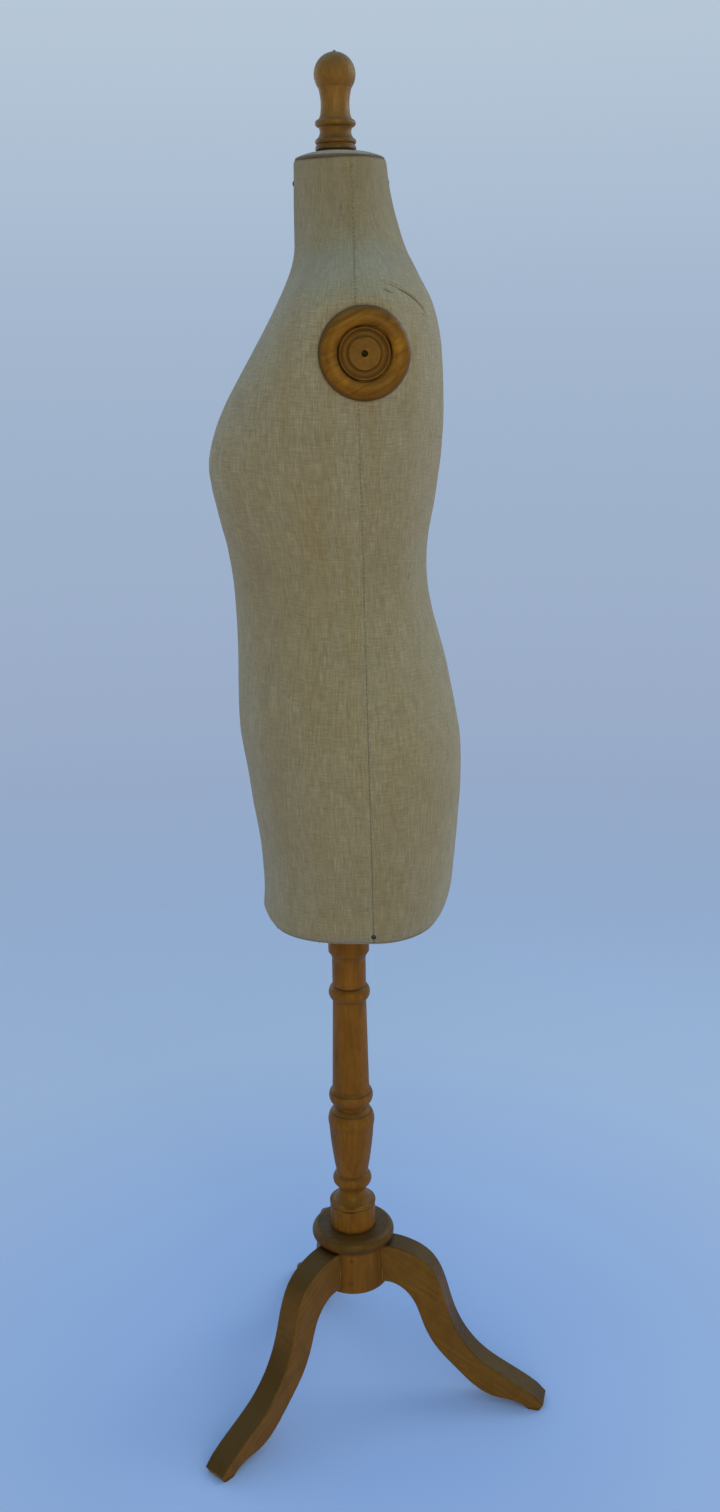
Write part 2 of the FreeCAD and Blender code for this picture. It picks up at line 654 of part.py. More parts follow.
def boards(room):
    """Two level boards that fit inside the shell, and the block that the post slides in."""
    base_low = s["hem_edge_level"]
    base_top = base_low + s["board_thick"]
    rough = common("base_board_rough", room, slab("base_slab", base_low, s["board_thick"]))
    hole = upright("base_board_hole", base_low - PAST, base_top + PAST, s["board_bore"])
    cut("base_board", rough, hole)
    guide_rough = common("guide_board_rough", room,
                         slab("guide_slab", s["guide_level"], s["board_thick"]))
    guide_hole = upright("guide_hole", s["guide_level"] - PAST,
                         s["guide_level"] + s["board_thick"] + PAST,
                         s["post_radius"] + s["post_play"])
    cut("guide_board", guide_rough, guide_hole)
    block = turned("socket_block", [
        (s["post_radius"] + s["post_play"], base_top),
        (s["block_radius"], base_top),
        (s["block_radius"], base_top + s["block_high"]),
        (s["post_radius"] + s["post_play"], base_top + s["block_high"]),
    ])
    place(block)


def block_screws():
    """Countersunk screws up through the base board into the socket block."""
    head = s["screw_head"] - s["screw_radius"]
    shape = Part.makeCone(float(s["screw_head"]), float(s["screw_radius"]), float(head))
    shape = shape.fuse(Part.makeCylinder(float(s["screw_radius"]), float(s["screw_long"])))
    copies = []
    for quarter in range(4):
        copy = shape.removeSplitter()
        angle = math.radians(45 + 90 * quarter)
        ring = float(s["screw_ring"])
        copy.translate(V(ring * math.cos(angle), ring * math.sin(angle), 0))
        copies.append(copy)
    loose_group("block_screws", copies, z=s["hem_edge_level"] + s["screw_sunk"])


def loose_group(name, shapes, z=0.0):
    made = doc.addObject("Part::Feature", name)
    made.Shape = Part.makeCompound(shapes)
    return place(made, z=z)


def tack(point, inwards):
    """A dome-headed tack at a point of the surface, driven in along a direction."""
    head, dome = float(s["tack_head"]), float(s["tack_dome"])
    shank, length = float(s["tack_shank"]), float(s["tack_long"])
    ball = (head ** 2 + dome ** 2) / (2 * dome)
    half_way = math.asin(head / ball) / 2
    shoulder_point = V(ball * math.sin(half_way), 0, dome - ball * (1 - math.cos(half_way)))
    outline = [V(0, 0, dome), V(0, 0, -length), V(shank, 0, 2 * shank - length), V(shank, 0, 0),
               V(head, 0, 0)]
    wire = Part.Wire([Part.makeLine(a, b) for a, b in zip(outline, outline[1:])]
                     + [Part.Arc(outline[-1], shoulder_point, outline[0]).toShape()])
    solid = Part.Face(wire).revolve(V(0, 0, 0), V(0, 0, 1), 360)
    solid.Placement = FreeCAD.Placement(point, FreeCAD.Rotation(V(0, 0, 1), inwards * -1))
    return solid


def reach(solid, level, azimuth, centre_y=0.0):
    """How far the torso's solid reaches from (0, centre_y) at a height, in a direction."""
    way = V(math.cos(math.radians(azimuth)), math.sin(math.radians(azimuth)), 0)
    base = V(float(s["pole_x"]), float(s["pole_y"]) + centre_y, level)
    line = Part.makeLine(base, base + way * ROOMY)
    return way, solid.Shape.common(line).Length


def tacks_and_nails(outer, middle):
    board_levels = [float(s["hem_edge_level"] + s["board_thick"] / 2),
                    float(s["guide_level"] + s["board_thick"] / 2)]
    nails = []
    for level in board_levels:
        for number in range(round(360 / float(s["nail_step"]))):
            way, far = reach(middle, level, float(s["nail_first"] + s["nail_step"] * number))
            head = way * (far - float(s["nail_sunk"])) + V(0, 0, level)
            nails.append(Part.makeCylinder(float(s["nail_radius"]), float(s["nail_long"]),
                                           head, way * -1))
    loose_group("board_nails", nails)
    hem = float(s["hem_tack_level"])
    side_tacks = []
    for azimuth in (0, 180):
        way, far = reach(outer, hem, azimuth, seam_at(hem))
        side_tacks.append(tack(way * far + V(0, seam_at(hem), hem), way * -1))
    loose_group("hem_tacks", side_tacks)
    neck = float(s["neck_tack_level"])
    neck_tacks = []
    for azimuth in (-90, 90):
        way, far = reach(outer, neck, azimuth)
        neck_tacks.append(tack(way * far + V(0, 0, neck), way * -1))
    loose_group("neck_tacks", neck_tacks)


def hem_turning():
    """The linen turned under the hem as a flat band, and the tacks that hold it to the base board."""
    row = outline_points(float(s["hem_edge_level"]))
    up = V(0, 0, float(s["turning_thick"]))

    def inside(depth):
        return closed_curve(inward_rows([row, row], float(depth))[0])

    turning = doc.addObject("Part::Feature", "hem_turning")
    hole = Part.Face(inside(s["turning_wide"])).extrude(up)
    turning.Shape = Part.Face(closed_curve(row)).extrude(up).cut(hole)
    place(turning, z=s["turning_thick"] * -1)
    under = []
    count = round(float(s["under_tack_count"]))
    for point in inside(s["tack_inset"]).discretize(Number=count + 1)[:count]:
        under.append(tack(point - up, V(0, 0, 1)))
    loose_group("under_tacks", under)


def neck_parts(inner):
    high = s["neck_top"]
    rough = common("neck_block_rough", inner,
                   slab("neck_slab", s["neck_block_foot"], high - s["neck_block_foot"]))
    well = upright("insert_well", s["insert_foot"], high + 1, s["insert_radius"])
    room = upright("stud_well", s["stud_room_foot"], high, s["stud_room"])
    flange_low = high - s["insert_flange_thick"]
    step = upright("insert_step", flange_low, high + 1, s["insert_flange"])
    cut("neck_block", cut("neck_block_two", cut("neck_block_one", rough, well), room), step)
    bore = s["stud_radius"] + s["insert_play"]
    place(turned("neck_insert", [
        (bore, s["insert_foot"]),
        (s["insert_radius"], s["insert_foot"]),
        (s["insert_radius"], flange_low),
        (s["insert_flange"], flange_low),
        (s["insert_flange"], high),
        (bore, high),
    ]))
    disc = turned("neck_cap", [
        (0, high),
        (s["neck_disc_radius"], high),
        (s["neck_disc_radius"], high + s["neck_disc_rim"], s["neck_disc_round"]),
        (s["neck_seat"], s["neck_disc_top"], s["neck_dome"]),
        (0, s["neck_disc_top"]),
    ])
    raised = FreeCAD.Placement(V(0, 0, float(high) - 1), FreeCAD.Rotation())
    drill(disc, "neck_cap_hole", "XY_Plane", [(0, s["neck_disc_y"] * -1)], s["stud_room"], 20,
          raised)
    place(disc, y=s["neck_disc_y"])


# ---- shoulder caps and the knob ----

def shoulder(side, name, inner):
    """A turned cap on its flat, with a spigot through the wall into a block behind."""
    cap = turned(f"shoulder_cap_{name}", [
        (0, s["spigot_long"] * -1),
        (s["spigot_radius"], s["spigot_long"] * -1),
        (s["spigot_radius"], 0),
        (s["cap_radius"] - s["cap_foot_in"], 0),
        (s["cap_radius"], s["cap_rim"], s["cap_rim_round"]),
        (s["cap_groove"], s["cap_groove_high"], s["cap_bulge"]),
        (s["cap_lip_out"], s["cap_lip_high"]),
        (s["cap_lip_in"], s["cap_lip_high"], s["cap_lip_round"]),
        (s["cap_dish_in"], s["cap_dish_high"], s["cap_dish_deep"] * -1),
        (s["cap_boss"], s["cap_boss_high"]),
        (s["peg_hole"], s["cap_boss_high"]),
        (s["peg_hole"], s["cap_boss_high"] - s["peg_hole_deep"]),
        (0, s["cap_boss_high"] - s["peg_hole_deep"]),
    ])
    turn = FreeCAD.Rotation(V(0, 1, 0), 90 * side)
    place(cap, (s["plate_x"] + s["cap_gap"]) * side, s["cap_y"], s["cap_level"], turn)
    start = (s["plate_x"] - s["linen_thick"] - s["wall_thick"] - s["backing_thick"]) * side
    way = V(side, 0, 0)
    disc = rod(f"backing_{name}_disc", s["backing_radius"], s["backing_thick"],
               (start, s["cap_y"], s["cap_level"]), way)
    hole = rod(f"backing_{name}_hole", s["spigot_radius"], s["backing_thick"] + PAST * 2,
               (start - PAST * side, s["cap_y"], s["cap_level"]), way)
    rough = common(f"backing_{name}_rough", inner, disc)
    cut(f"shoulder_block_{name}", rough, hole)


def knob():
    seat = s["neck_disc_top"]
    base = seat + s["knob_washer_thick"]
    bore = s["stud_radius"]
    hole = bore + s["knob_washer_play"]
    place(turned("knob_washer", [
        (hole, seat), (s["knob_washer_radius"], seat),
        (s["knob_washer_radius"], base), (hole, base),
    ]))
    drop = float(s["ball_level"] - s["ball_join"])
    across = math.sqrt(float(s["ball_radius"]) ** 2 - drop ** 2)
    ball = s["ball_radius"]
    top = s["ball_level"] + ball
    quarter = ball * (1 - math.cos(math.pi / 4))
    join_chord = math.hypot(float(ball) - across, drop)
    join_bulge = ball * (1 - math.cos(math.asin(join_chord / 2 / float(ball))))
    place(turned("finial", [
        (bore, base),
        (s["knob_ring_low"], base),
        (s["knob_ring_low"], s["knob_ring_low_top"], s["knob_ring_bulge"]),
        (s["knob_groove"], s["knob_groove_top"]),
        (s["knob_ring_high"], s["knob_ring_top"], s["knob_ring_bulge"]),
        (s["knob_cove"], s["knob_cove_top"], s["knob_cove_deep"] * -1),
        (s["knob_cove"], s["knob_bead_top"], s["knob_bead_bulge"]),
        (s["knob_stem"], s["knob_stem_level"], s["knob_stem_deep"] * -1),
        (across, s["ball_join"], s["ball_join_in"] * -1),
        (ball, s["ball_level"], join_bulge),
        (0, top, quarter),
        (0, s["stud_top"]),
        (bore, s["stud_top"]),
    ]))
    place(turned("finial_stud", [
        (0, s["stud_foot"]), (bore, s["stud_foot"]), (bore, s["stud_top"]), (0, s["stud_top"]),
    ]))


def swivel_washer():
    low = s["collar_top"]
    high = low + s["washer_thick"]
    place(turned("swivel_washer", [
        (s["washer_bore"], low), (s["washer_radius"], low),
        (s["washer_radius"], high), (s["washer_bore"], high),
    ]))


# ---- putting it together ----

NODES = (
    "hub_body", "hub_disc", "pole_socket", *LEG_NAMES, "leg_dowels", "pole_pegs", "column",
    "pole_collar", "inner_post", "swivel_washer",
    "base_board", "socket_block", "block_screws", "guide_board", "board_nails",
    "shell_front", "shell_back", "cover_front", "cover_back", "hem_turning", "hem_tacks",
    "under_tacks", "neck_tacks", "neck_block", "neck_insert", "neck_cap",
    "shoulder_block_left", "shoulder_block_right", "shoulder_cap_left", "shoulder_cap_right",
    "knob_washer", "finial", "finial_stud",
)


def stand():
    hub_body()
    hub_disc()
    pole_socket()
    for name, azimuth in zip(LEG_NAMES, leg_azimuths()):
        leg(name, azimuth)
    level_rods("leg_dowels", leg_azimuths(), (s["dowel_low"], s["dowel_high"]),
               s["hub_radius"] - s["dowel_half"], s["dowel_half"] * 2, s["dowel_radius"])
    level_rods("pole_pegs", [s["peg_azimuth"]], (s["peg_low"], s["peg_high"]), s["peg_tip"],
               s["hub_radius"] - s["peg_tip"] + s["peg_proud"], s["peg_radius"])
    column()
    pole_collar()
    inner_post()
    swivel_washer()


def torso():
    rows = [outline_points(level) for level in row_levels()]
    skin = loft(rows)
    outer = form_solid("form_outer", skin, 0.0)
    wall_depth = s["linen_thick"] + s["wall_thick"]
    middle = form_solid("form_middle", loft(inward_rows(rows, float(s["linen_thick"]))),
                        s["linen_thick"])
    inner = form_solid("form_inner", loft(inward_rows(rows, float(wall_depth))), wall_depth)
    board_depth = wall_depth + s["board_gap"]
    room = form_solid("form_room", loft(inward_rows(rows, float(board_depth))), board_depth)
    doc.recompute()
    walls(outer, middle, inner)
    boards(room)
    block_screws()
    tacks_and_nails(outer, middle)
    hem_turning()
    neck_parts(inner)
    for side, name in ((1, "left"), (-1, "right")):
        shoulder(side, name, inner)


def check_document():
    for thing in doc.Objects:
        bad = [state for state in thing.State if state in ("Invalid", "Error")]
        if bad:
            raise RuntimeError(f"{thing.Name}: {bad}")
    for node in NODES:
        shape = doc.getObject(node).Shape
        if shape.isNull() or not shape.isValid() or not shape.Solids:
            raise RuntimeError(f"{node} has no valid shape")


def write_parts():
    os.makedirs("parts", exist_ok=True)
    for node in NODES:
        piece = doc.getObject(node)
        piece.Label = node
        piece.Shape.exportStep(os.path.join("parts", f"{node}.step"))


give_size_arithmetic()
doc = FreeCAD.newDocument("dress_form")
s = make_sheet(doc)
stand()
torso()
knob()
doc.recompute()
check_document()
write_parts()
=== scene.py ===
import math
import random

import bmesh
import bpy
import numpy as np
from mathutils import Matrix, Vector, noise
from mathutils.bvhtree import BVHTree


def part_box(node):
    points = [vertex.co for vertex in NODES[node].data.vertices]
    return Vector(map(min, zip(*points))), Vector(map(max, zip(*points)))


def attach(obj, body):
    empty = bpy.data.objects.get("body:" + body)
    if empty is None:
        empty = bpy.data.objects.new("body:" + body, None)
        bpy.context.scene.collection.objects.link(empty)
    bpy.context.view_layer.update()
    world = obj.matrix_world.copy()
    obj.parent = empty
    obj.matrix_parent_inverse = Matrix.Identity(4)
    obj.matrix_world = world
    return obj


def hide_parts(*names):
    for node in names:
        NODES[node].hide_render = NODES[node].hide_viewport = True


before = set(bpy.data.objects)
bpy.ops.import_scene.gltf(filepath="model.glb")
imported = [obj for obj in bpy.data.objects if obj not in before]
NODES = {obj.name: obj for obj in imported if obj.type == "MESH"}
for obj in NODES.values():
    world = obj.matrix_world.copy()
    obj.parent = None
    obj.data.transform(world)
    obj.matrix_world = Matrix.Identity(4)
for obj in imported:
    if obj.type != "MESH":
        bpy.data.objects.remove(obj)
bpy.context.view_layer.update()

# The looks of a linen dress form on a turned wooden stand. Metres, in the frame of the CAD model:
# the floor is z = 0, the torso faces -Y and its left shoulder is on +X.

MM = 0.001


def middle(node):
    low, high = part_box(node)
    return (low + high) / 2


POLE = middle("column").xy
FRONT_LOW, FRONT_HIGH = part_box("cover_front")
HEM = FRONT_LOW.z
NECK_TOP = FRONT_HIGH.z
PLATE = FRONT_HIGH.x - POLE.x                # how far the flat armholes stand from the pole
ON_PLATE = 0.9 * PLATE                       # a point further out than this lies on an armhole
SEAM_AT_HEM = FRONT_HIGH.y                   # the side seam's place in y at the hem
SEAM_AT_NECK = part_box("cover_back")[0].y     # and at the top of the neck
CAP = middle("shoulder_cap_left").yz         # the shoulder caps' axis: CAP.x is its y, CAP.y its z
CAP_RADIUS = (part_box("shoulder_cap_left")[1].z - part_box("shoulder_cap_left")[0].z) / 2



# ---- node trees ----

class Tree:
    """A short way to write a material's nodes: every call adds a node and gives its output."""

    def __init__(self, name):
        self.material = bpy.data.materials.new(name)
        self.material.use_nodes = True
        self.nodes = self.material.node_tree.nodes
        self.links = self.material.node_tree.links
        self.shader = self.nodes["Principled BSDF"]

    def put(self, value, socket):
        if isinstance(value, bpy.types.NodeSocket):
            self.links.new(value, socket)
        else:
            socket.default_value = value

    def add(self, kind, inputs=(), output=0, **settings):
        node = self.nodes.new(kind)
        for name, value in settings.items():
            setattr(node, name, value)
        for name, value in dict(inputs).items():
            self.put(value, node.inputs[name])
        return node.outputs[output]

    def math(self, operation, a, b=0.0):
        return self.add("ShaderNodeMath", {0: a, 1: b}, operation=operation)

    def mix(self, share, a, b):
        """A colour between a and b. Sockets 6 and 7 are the colours, and output 2 the colour."""
        return self.add("ShaderNodeMix", {0: share, 6: a, 7: b}, 2, data_type="RGBA")

    def between(self, value, low, high, to_low=0.0, to_high=1.0):
        return self.add("ShaderNodeMapRange", {
            "Value": value, "From Min": low, "From Max": high, "To Min": to_low, "To Max": to_high,
        })

    def layered(self, shade, *layers):
        """Colours laid over one another: each layer is a colour, what steers it, and a range."""
        for tint, value, *span in layers:
            shade = self.mix(self.between(value, *span), shade, tint)
        return shade

    def place(self, scale=(1, 1, 1), turn=(0, 0, 0), uv=False, shift=(0, 0, 0)):
        """The object's own coordinates in metres, or its UV map in metres, turned and scaled."""
        start = self.add("ShaderNodeTexCoord", output="UV" if uv else "Object")
        turned = self.add("ShaderNodeMapping", {0: start, "Rotation": turn, "Location": shift})
        return self.add("ShaderNodeMapping", {0: turned, "Scale": scale})

    def part(self, vector, axis):
        """One part of a vector: 0 is its x, 1 its y and 2 its z."""
        return self.add("ShaderNodeSeparateXYZ", {0: vector}, axis)

    def height(self):
        return self.part(self.place(), 2)

    def openness(self, distance, samples):
        """From 0 deep in a hollow to 1 on an open face, looking no further than a distance."""
        return self.add("ShaderNodeAmbientOcclusion", {"Distance": distance}, 1, samples=samples)

    def noise(self, scale, detail=3.0, rough=0.5, distortion=0.0, **placed):
        """Smooth noise: its scale is about how many bumps a metre it has along each axis."""
        return self.add("ShaderNodeTexNoise", {
            "Vector": self.place(scale, **placed), "Scale": 1.0, "Detail": detail,
            "Roughness": rough, "Distortion": distortion,
        })

    def bump(self, height, distance, strength=1.0, under=None):
        inputs = {"Height": height, "Distance": distance, "Strength": strength}
        if under is not None:
            inputs["Normal"] = under
        return self.add("ShaderNodeBump", inputs)

    def finish(self, **inputs):
        for name, value in inputs.items():
            self.put(value, self.shader.inputs[name.replace("_", " ")])
        return self.material


def colour(red, green, blue):
    """A colour given as it looks on a screen, from 0 to 255, as the linear one that nodes take."""
    return tuple(((c / 255 + 0.055) / 1.055) ** 2.4 for c in (red, green, blue)) + (1.0,)


# ---- materials ----

LINEN = (colour(147, 131, 93), colour(90, 78, 52), colour(156, 147, 115))
YELLOWED = colour(142, 122, 74)
# Used for stains, including the one round the neck disc's rim, and for the painted shadow under the
# disc's edge.
STAIN_AND_SHADOW = colour(76, 58, 38)


def thread_rows(tree, where, axis, pitch):
    """Rounded ridges one pitch apart across an axis of the cloth, from 0 to 1."""
    phase = tree.math("MULTIPLY", tree.part(where, axis), 2 * math.pi / pitch)
    return tree.between(tree.math("SINE", phase), -1, 1)


def linen(name, base, dark, light, uv=True, darkening=None):
    """Plain-woven linen: warp and weft with uneven slubs, faint stains and a little fuzz.

    Its last argument is a function that says how dark each place is made: grime, stains and painted
    shadow. With it, the places that the mesh's crease attribute marks get painted crease shade as
    well.
    """
    tree = Tree(name)
    cloth = tree.place(uv=uv)
    sway = tree.noise((14, 14, 14), 2.0, uv=uv)
    swayed = tree.add("ShaderNodeVectorMath", {0: cloth, 1: tree.add(
        "ShaderNodeVectorMath", {0: sway, 3: 1.5 * MM}, operation="SCALE")}, operation="ADD")
    warp = thread_rows(tree, swayed, 0, 0.62 * MM)
    weft = thread_rows(tree, swayed, 1, 0.70 * MM)
    slub_up = tree.noise((820, 62, 820), 3.0, 0.7, uv=uv)
    slub_across = tree.noise((70, 820, 820), 3.0, 0.6, uv=uv, shift=(3, 1, 0))
    streak_up = tree.noise((460, 34, 460), 3.0, 0.65, uv=uv)
    streak_across = tree.noise((22, 380, 380), 2.0, 0.6, uv=uv, shift=(1, 5, 0))
    band = tree.noise((38, 3.5, 38), 2.0, 0.5, uv=uv, shift=(2, 0, 0))
    blotch = tree.noise((8, 8, 4.5), 4.0, 0.55)
    stain = tree.noise((23, 23, 11), 5.0, 0.6, 0.6, shift=(0.3, 0.7, 0.1))
    spot = tree.noise((62, 62, 62), 3.0, 0.55, shift=(0.9, 0.2, 0.4))
    weave = tree.math("ADD", tree.math("MULTIPLY", warp, 0.5), tree.math("MULTIPLY", weft, 0.5))
    slubs = tree.math("ADD", tree.between(slub_up, 0.32, 0.72),
                      tree.between(slub_across, 0.34, 0.74))
    shade = tree.layered(
        base,
        (light, blotch, 0.36, 0.66, 0.1, 0.85),
        (YELLOWED, band, 0.44, 0.7, 0.0, 0.55),
        (dark, stain, 0.54, 0.78, 0.0, 0.34),
        (STAIN_AND_SHADOW, spot, 0.70, 0.76, 0.0, 0.4),
        (dark, slubs, 0.3, 1.7, 0.62, 0.0),
        (dark, streak_up, 0.3, 0.6, 0.38, 0.0),
        (light, streak_up, 0.55, 0.75, 0.0, 0.25),
        (dark, streak_across, 0.3, 0.55, 0.13, 0.0),
        (dark, weave, 0.1, 0.9, 0.38, 0.0),
    )
    # Darker marks passed in: grime with painted shadow at the top of the neck, or a stain round the
    # neck disc's rim.
    if darkening is not None:
        shade = tree.mix(darkening(tree), shade, STAIN_AND_SHADOW)
        # Painted shade along the creases that the mesh marks.
        crease_shade = tree.add("ShaderNodeAttribute", output=2, attribute_name="crease_shade")
        shade = tree.mix(tree.between(crease_shade, 0.2, 0.9, 0.0, 0.9), shade, colour(44, 40, 32))
    # Painted shade in the cloth's hollows.
    hollow_shade = tree.openness(3.5 * MM, 6)
    shade = tree.mix(tree.between(hollow_shade, 0.40, 0.90, 0.75, 0.0), shade, colour(62, 50, 34))
    lift = tree.bump(slubs, 0.25 * MM, 0.9)
    lift = tree.bump(weave, 0.22 * MM, 0.8, lift)
    return tree.finish(Base_Color=shade, Roughness=tree.between(slubs, 0.2, 1.8, 0.96, 0.84),
                       Normal=lift, Sheen_Weight=0.16, Sheen_Roughness=0.5,
                       Specular_IOR_Level=0.2)


def wood(name, base, dark, light, turn=(0, 0, 0), grain=1.0, gloss=0.42, wear=0.5, shift=(0, 0, 0),
         darkening=None, figure=1.0, topped=0.0, lines=()):
    """Oiled golden wood with its grain along Z: bands, fine pores, painted shade in hollows, wear.

    turn lays the grain another way, figure is how strong its bands are, topped is how far the faces
    that look up get painted shade, and lines are the heights of dark lines burnt round it.
    """
    tree = Tree(name)
    broad = tree.noise((9, 9, 2.2), 3.0, 0.5, 0.4, turn=turn, shift=shift)
    bands = tree.noise((95 * grain, 95 * grain, 4.5), 4.0, 0.6, 0.9, turn=turn, shift=shift)
    fibre = tree.noise((520, 520, 16), 3.0, 0.7, turn=turn, shift=shift)
    pore = tree.noise((1500, 1500, 60), 2.0, 0.5, turn=turn, shift=shift)
    mottle = tree.noise((48, 48, 30), 5.0, 0.65)
    rings = tree.add("ShaderNodeTexWave", {
        "Vector": tree.place((1, 1, 0.09), turn, shift=shift), "Scale": 34.0 * grain,
        "Distortion": 5.0, "Detail": 3.0, "Detail Scale": 1.4, "Detail Roughness": 0.6,
    }, 1, wave_type="BANDS", bands_direction="X", wave_profile="SAW")
    shade = tree.layered(
        dark,
        (base, broad, 0.25, 0.5, 0.45, 1.0),
        (light, rings, 0.1, 1.0, 0.0, 0.16 * figure),
        (dark, bands, 0.35, 0.7, 0.36 * figure, 0.0),
        (dark, fibre, 0.3, 0.62, 0.34, 0.0),
        (dark, mottle, 0.42, 0.72, 0.0, 0.4),
        (colour(46, 26, 12), pore, 0.28, 0.42, 0.5, 0.0),
    )
    # Darker marks passed in: painted shade inside the shoulder holes, darker rings on the caps, a
    # darker foot on the knob.
    if darkening is not None:
        shade = tree.mix(darkening(tree), shade, dark)
    face = tree.add("ShaderNodeNewGeometry", output="Normal")
    # Painted shade on the faces that look up.
    up_facing_shade = tree.math("ADD", tree.part(face, 2), tree.between(broad, 0.3, 0.7, -0.15, 0.15))
    shade = tree.mix(tree.between(up_facing_shade, 0.1, 0.6, 0.0, topped), shade, colour(46, 27, 3))
    height = tree.height()
    for line in lines:
        near = tree.math("ABSOLUTE", tree.math("SUBTRACT", height, line))
        burnt = tree.between(near, 0.35 * MM, 1.0 * MM, 0.8, 0.0)
        shade = tree.mix(burnt, shade, colour(38, 22, 10))
    # Painted shade in hollows and in narrow cracks.
    shade = tree.layered(
        shade,
        (colour(34, 19, 9), tree.openness(6 * MM, 8), 0.42, 0.96, 0.95, 0.0),
        (colour(22, 12, 6), tree.openness(1.8 * MM, 8), 0.45, 0.92, 0.9, 0.0),
    )
    rounded = tree.add("ShaderNodeBevel", {"Radius": 1.6 * MM}, samples=6)
    edge = tree.math("SUBTRACT", 1.0, tree.add(
        "ShaderNodeVectorMath", {0: rounded, 1: face}, 1, operation="DOT_PRODUCT"))
    rubbed = tree.noise((60, 60, 30), 4.0, 0.6)
    worn = tree.math("MULTIPLY", tree.between(edge, 0.004, 0.05), tree.between(rubbed, 0.42, 0.62))
    worn = tree.math("MULTIPLY", worn, wear)
    shade = tree.mix(worn, shade, light)
    scuff = tree.noise((210, 210, 210), 3.0, 0.7)
    rough = tree.math("ADD", tree.between(scuff, 0.3, 0.7, gloss - 0.08, gloss + 0.14),
                      tree.between(fibre, 0.3, 0.6, 0.1, 0.0))
    lift = tree.bump(fibre, 0.12 * MM, 0.5)
    lift = tree.bump(pore, 0.10 * MM, 0.5, lift)
    return tree.finish(Base_Color=shade, Roughness=rough, Normal=lift,
                       Specular_IOR_Level=0.28, Specular_Tint=(1.0, 0.68, 0.22, 1.0))


def papier_mache(name):
    """Layers of torn brown paper under glue."""
    tree = Tree(name)
    torn = tree.add("ShaderNodeTexVoronoi", {"Vector": tree.place((32, 32, 22)), "Scale": 1.0}, 1)
    pulp = tree.noise((260, 260, 260), 5.0, 0.7)
    shade = tree.mix(tree.between(torn, 0.0, 1.0, 0.0, 0.35),
                     colour(150, 122, 84), colour(112, 86, 56))
    shade = tree.mix(tree.between(pulp, 0.35, 0.65, 0.3, 0.0), shade, colour(84, 62, 40))
    return tree.finish(Base_Color=shade, Roughness=tree.between(pulp, 0.3, 0.7, 0.9, 0.75),
                       Normal=tree.bump(pulp, 0.3 * MM, 0.8))


def metal(name, base, rust):
    """Old steel with brown spots and scratches."""
    tree = Tree(name)
    spots = tree.noise((700, 700, 700), 4.0, 0.65)
    scratch = tree.noise((2600, 300, 900), 3.0, 0.6)
    shade = tree.mix(tree.between(spots, 0.45, 0.62), base, rust)
    rough = tree.math("ADD", tree.between(spots, 0.4, 0.65, 0.32, 0.75),
                      tree.between(scratch, 0.35, 0.65, 0.0, 0.12))
    return tree.finish(Base_Color=shade, Roughness=rough, Metallic=1.0,
                       Normal=tree.bump(scratch, 0.05 * MM, 0.6))


def felt(name, base, dark):
    """Thick felt: fuzzy, with darker clumps."""
    tree = Tree(name)
    fuzz = tree.noise((900, 900, 900), 5.0, 0.75, 0.5)
    clump = tree.noise((120, 120, 120), 3.0, 0.6)
    shade = tree.layered(
        dark,
        (base, fuzz, 0.35, 0.65),
        (dark, clump, 0.4, 0.7, 0.0, 0.35),
    )
    return tree.finish(Base_Color=shade, Roughness=tree.between(fuzz, 0.3, 0.7, 1.0, 0.88),
                       Normal=tree.bump(fuzz, 0.4 * MM, 0.9), Sheen_Weight=0.4, Sheen_Roughness=0.5)


def leather(name, base, dark):
    """Leather with a fine pebbled grain."""
    tree = Tree(name)
    cells = tree.add("ShaderNodeTexVoronoi", {
        "Vector": tree.place((1300, 1300, 1300)), "Scale": 1.0})
    patch = tree.noise((90, 90, 90), 4.0, 0.6)
    shade = tree.mix(tree.between(patch, 0.35, 0.65), dark, base)
    return tree.finish(Base_Color=shade, Roughness=tree.between(cells, 0.0, 0.8, 0.75, 0.5),
                       Normal=tree.bump(cells, 0.12 * MM, 0.7))


# Each of these is a base colour, a dark one and a light one, as LINEN is.
GOLD = (colour(114, 70, 14), colour(66, 36, 7), colour(150, 102, 42))
CAP_GOLD = (colour(116, 73, 8), colour(66, 37, 4), colour(150, 102, 28))
KNOB_GOLD = (colour(108, 74, 30), colour(66, 42, 14), colour(138, 102, 52))
LEG_GOLD = (colour(106, 68, 18), colour(60, 35, 9), colour(158, 118, 62))
# Darker than GOLD: painted shade on the hub disc, which lies under the torso.
DISC_GOLD = (colour(84, 52, 14), colour(48, 27, 7), colour(130, 88, 38))
PEG_BROWN = (colour(88, 52, 20), colour(52, 30, 12), colour(130, 88, 44))
BOARD_WOOD = (colour(172, 138, 94), colour(126, 94, 58), colour(206, 176, 132))
PALE_WOOD = (colour(170, 132, 86), colour(122, 88, 52), colour(200, 166, 116))
# Darker wood for the blocks seen through the holes in the shoulder caps: painted shade.
HOLE_SHADED_WOOD = (colour(96, 70, 42), colour(30, 20, 12), colour(110, 80, 50))
NECK_LINEN = (colour(150, 134, 106), colour(96, 82, 62), colour(166, 152, 124))
SEWING_THREAD = (colour(140, 124, 90), colour(84, 70, 46), colour(160, 146, 112))


def from_cap_axis(tree):
    """How far each place is from the axis of the shoulder caps."""
    centred = tree.place(shift=(0, -CAP.x, -CAP.y))
    y, z = tree.part(centred, 1), tree.part(centred, 2)
    squares = tree.math("ADD", tree.math("MULTIPLY", y, y), tree.math("MULTIPLY", z, z))
    return tree.math("SQRT", squares)


def cap_dark_rings(tree):
    """How much darker a shoulder cap is made: most inside its ring, and again at its rim."""
    away = from_cap_axis(tree)
    inside = tree.between(away, 26 * MM, 29 * MM, 0.8, 0.0)
    rim = tree.between(away, 41 * MM, 45.5 * MM, 0.0, 0.8)
    return tree.math("ADD", inside, rim)


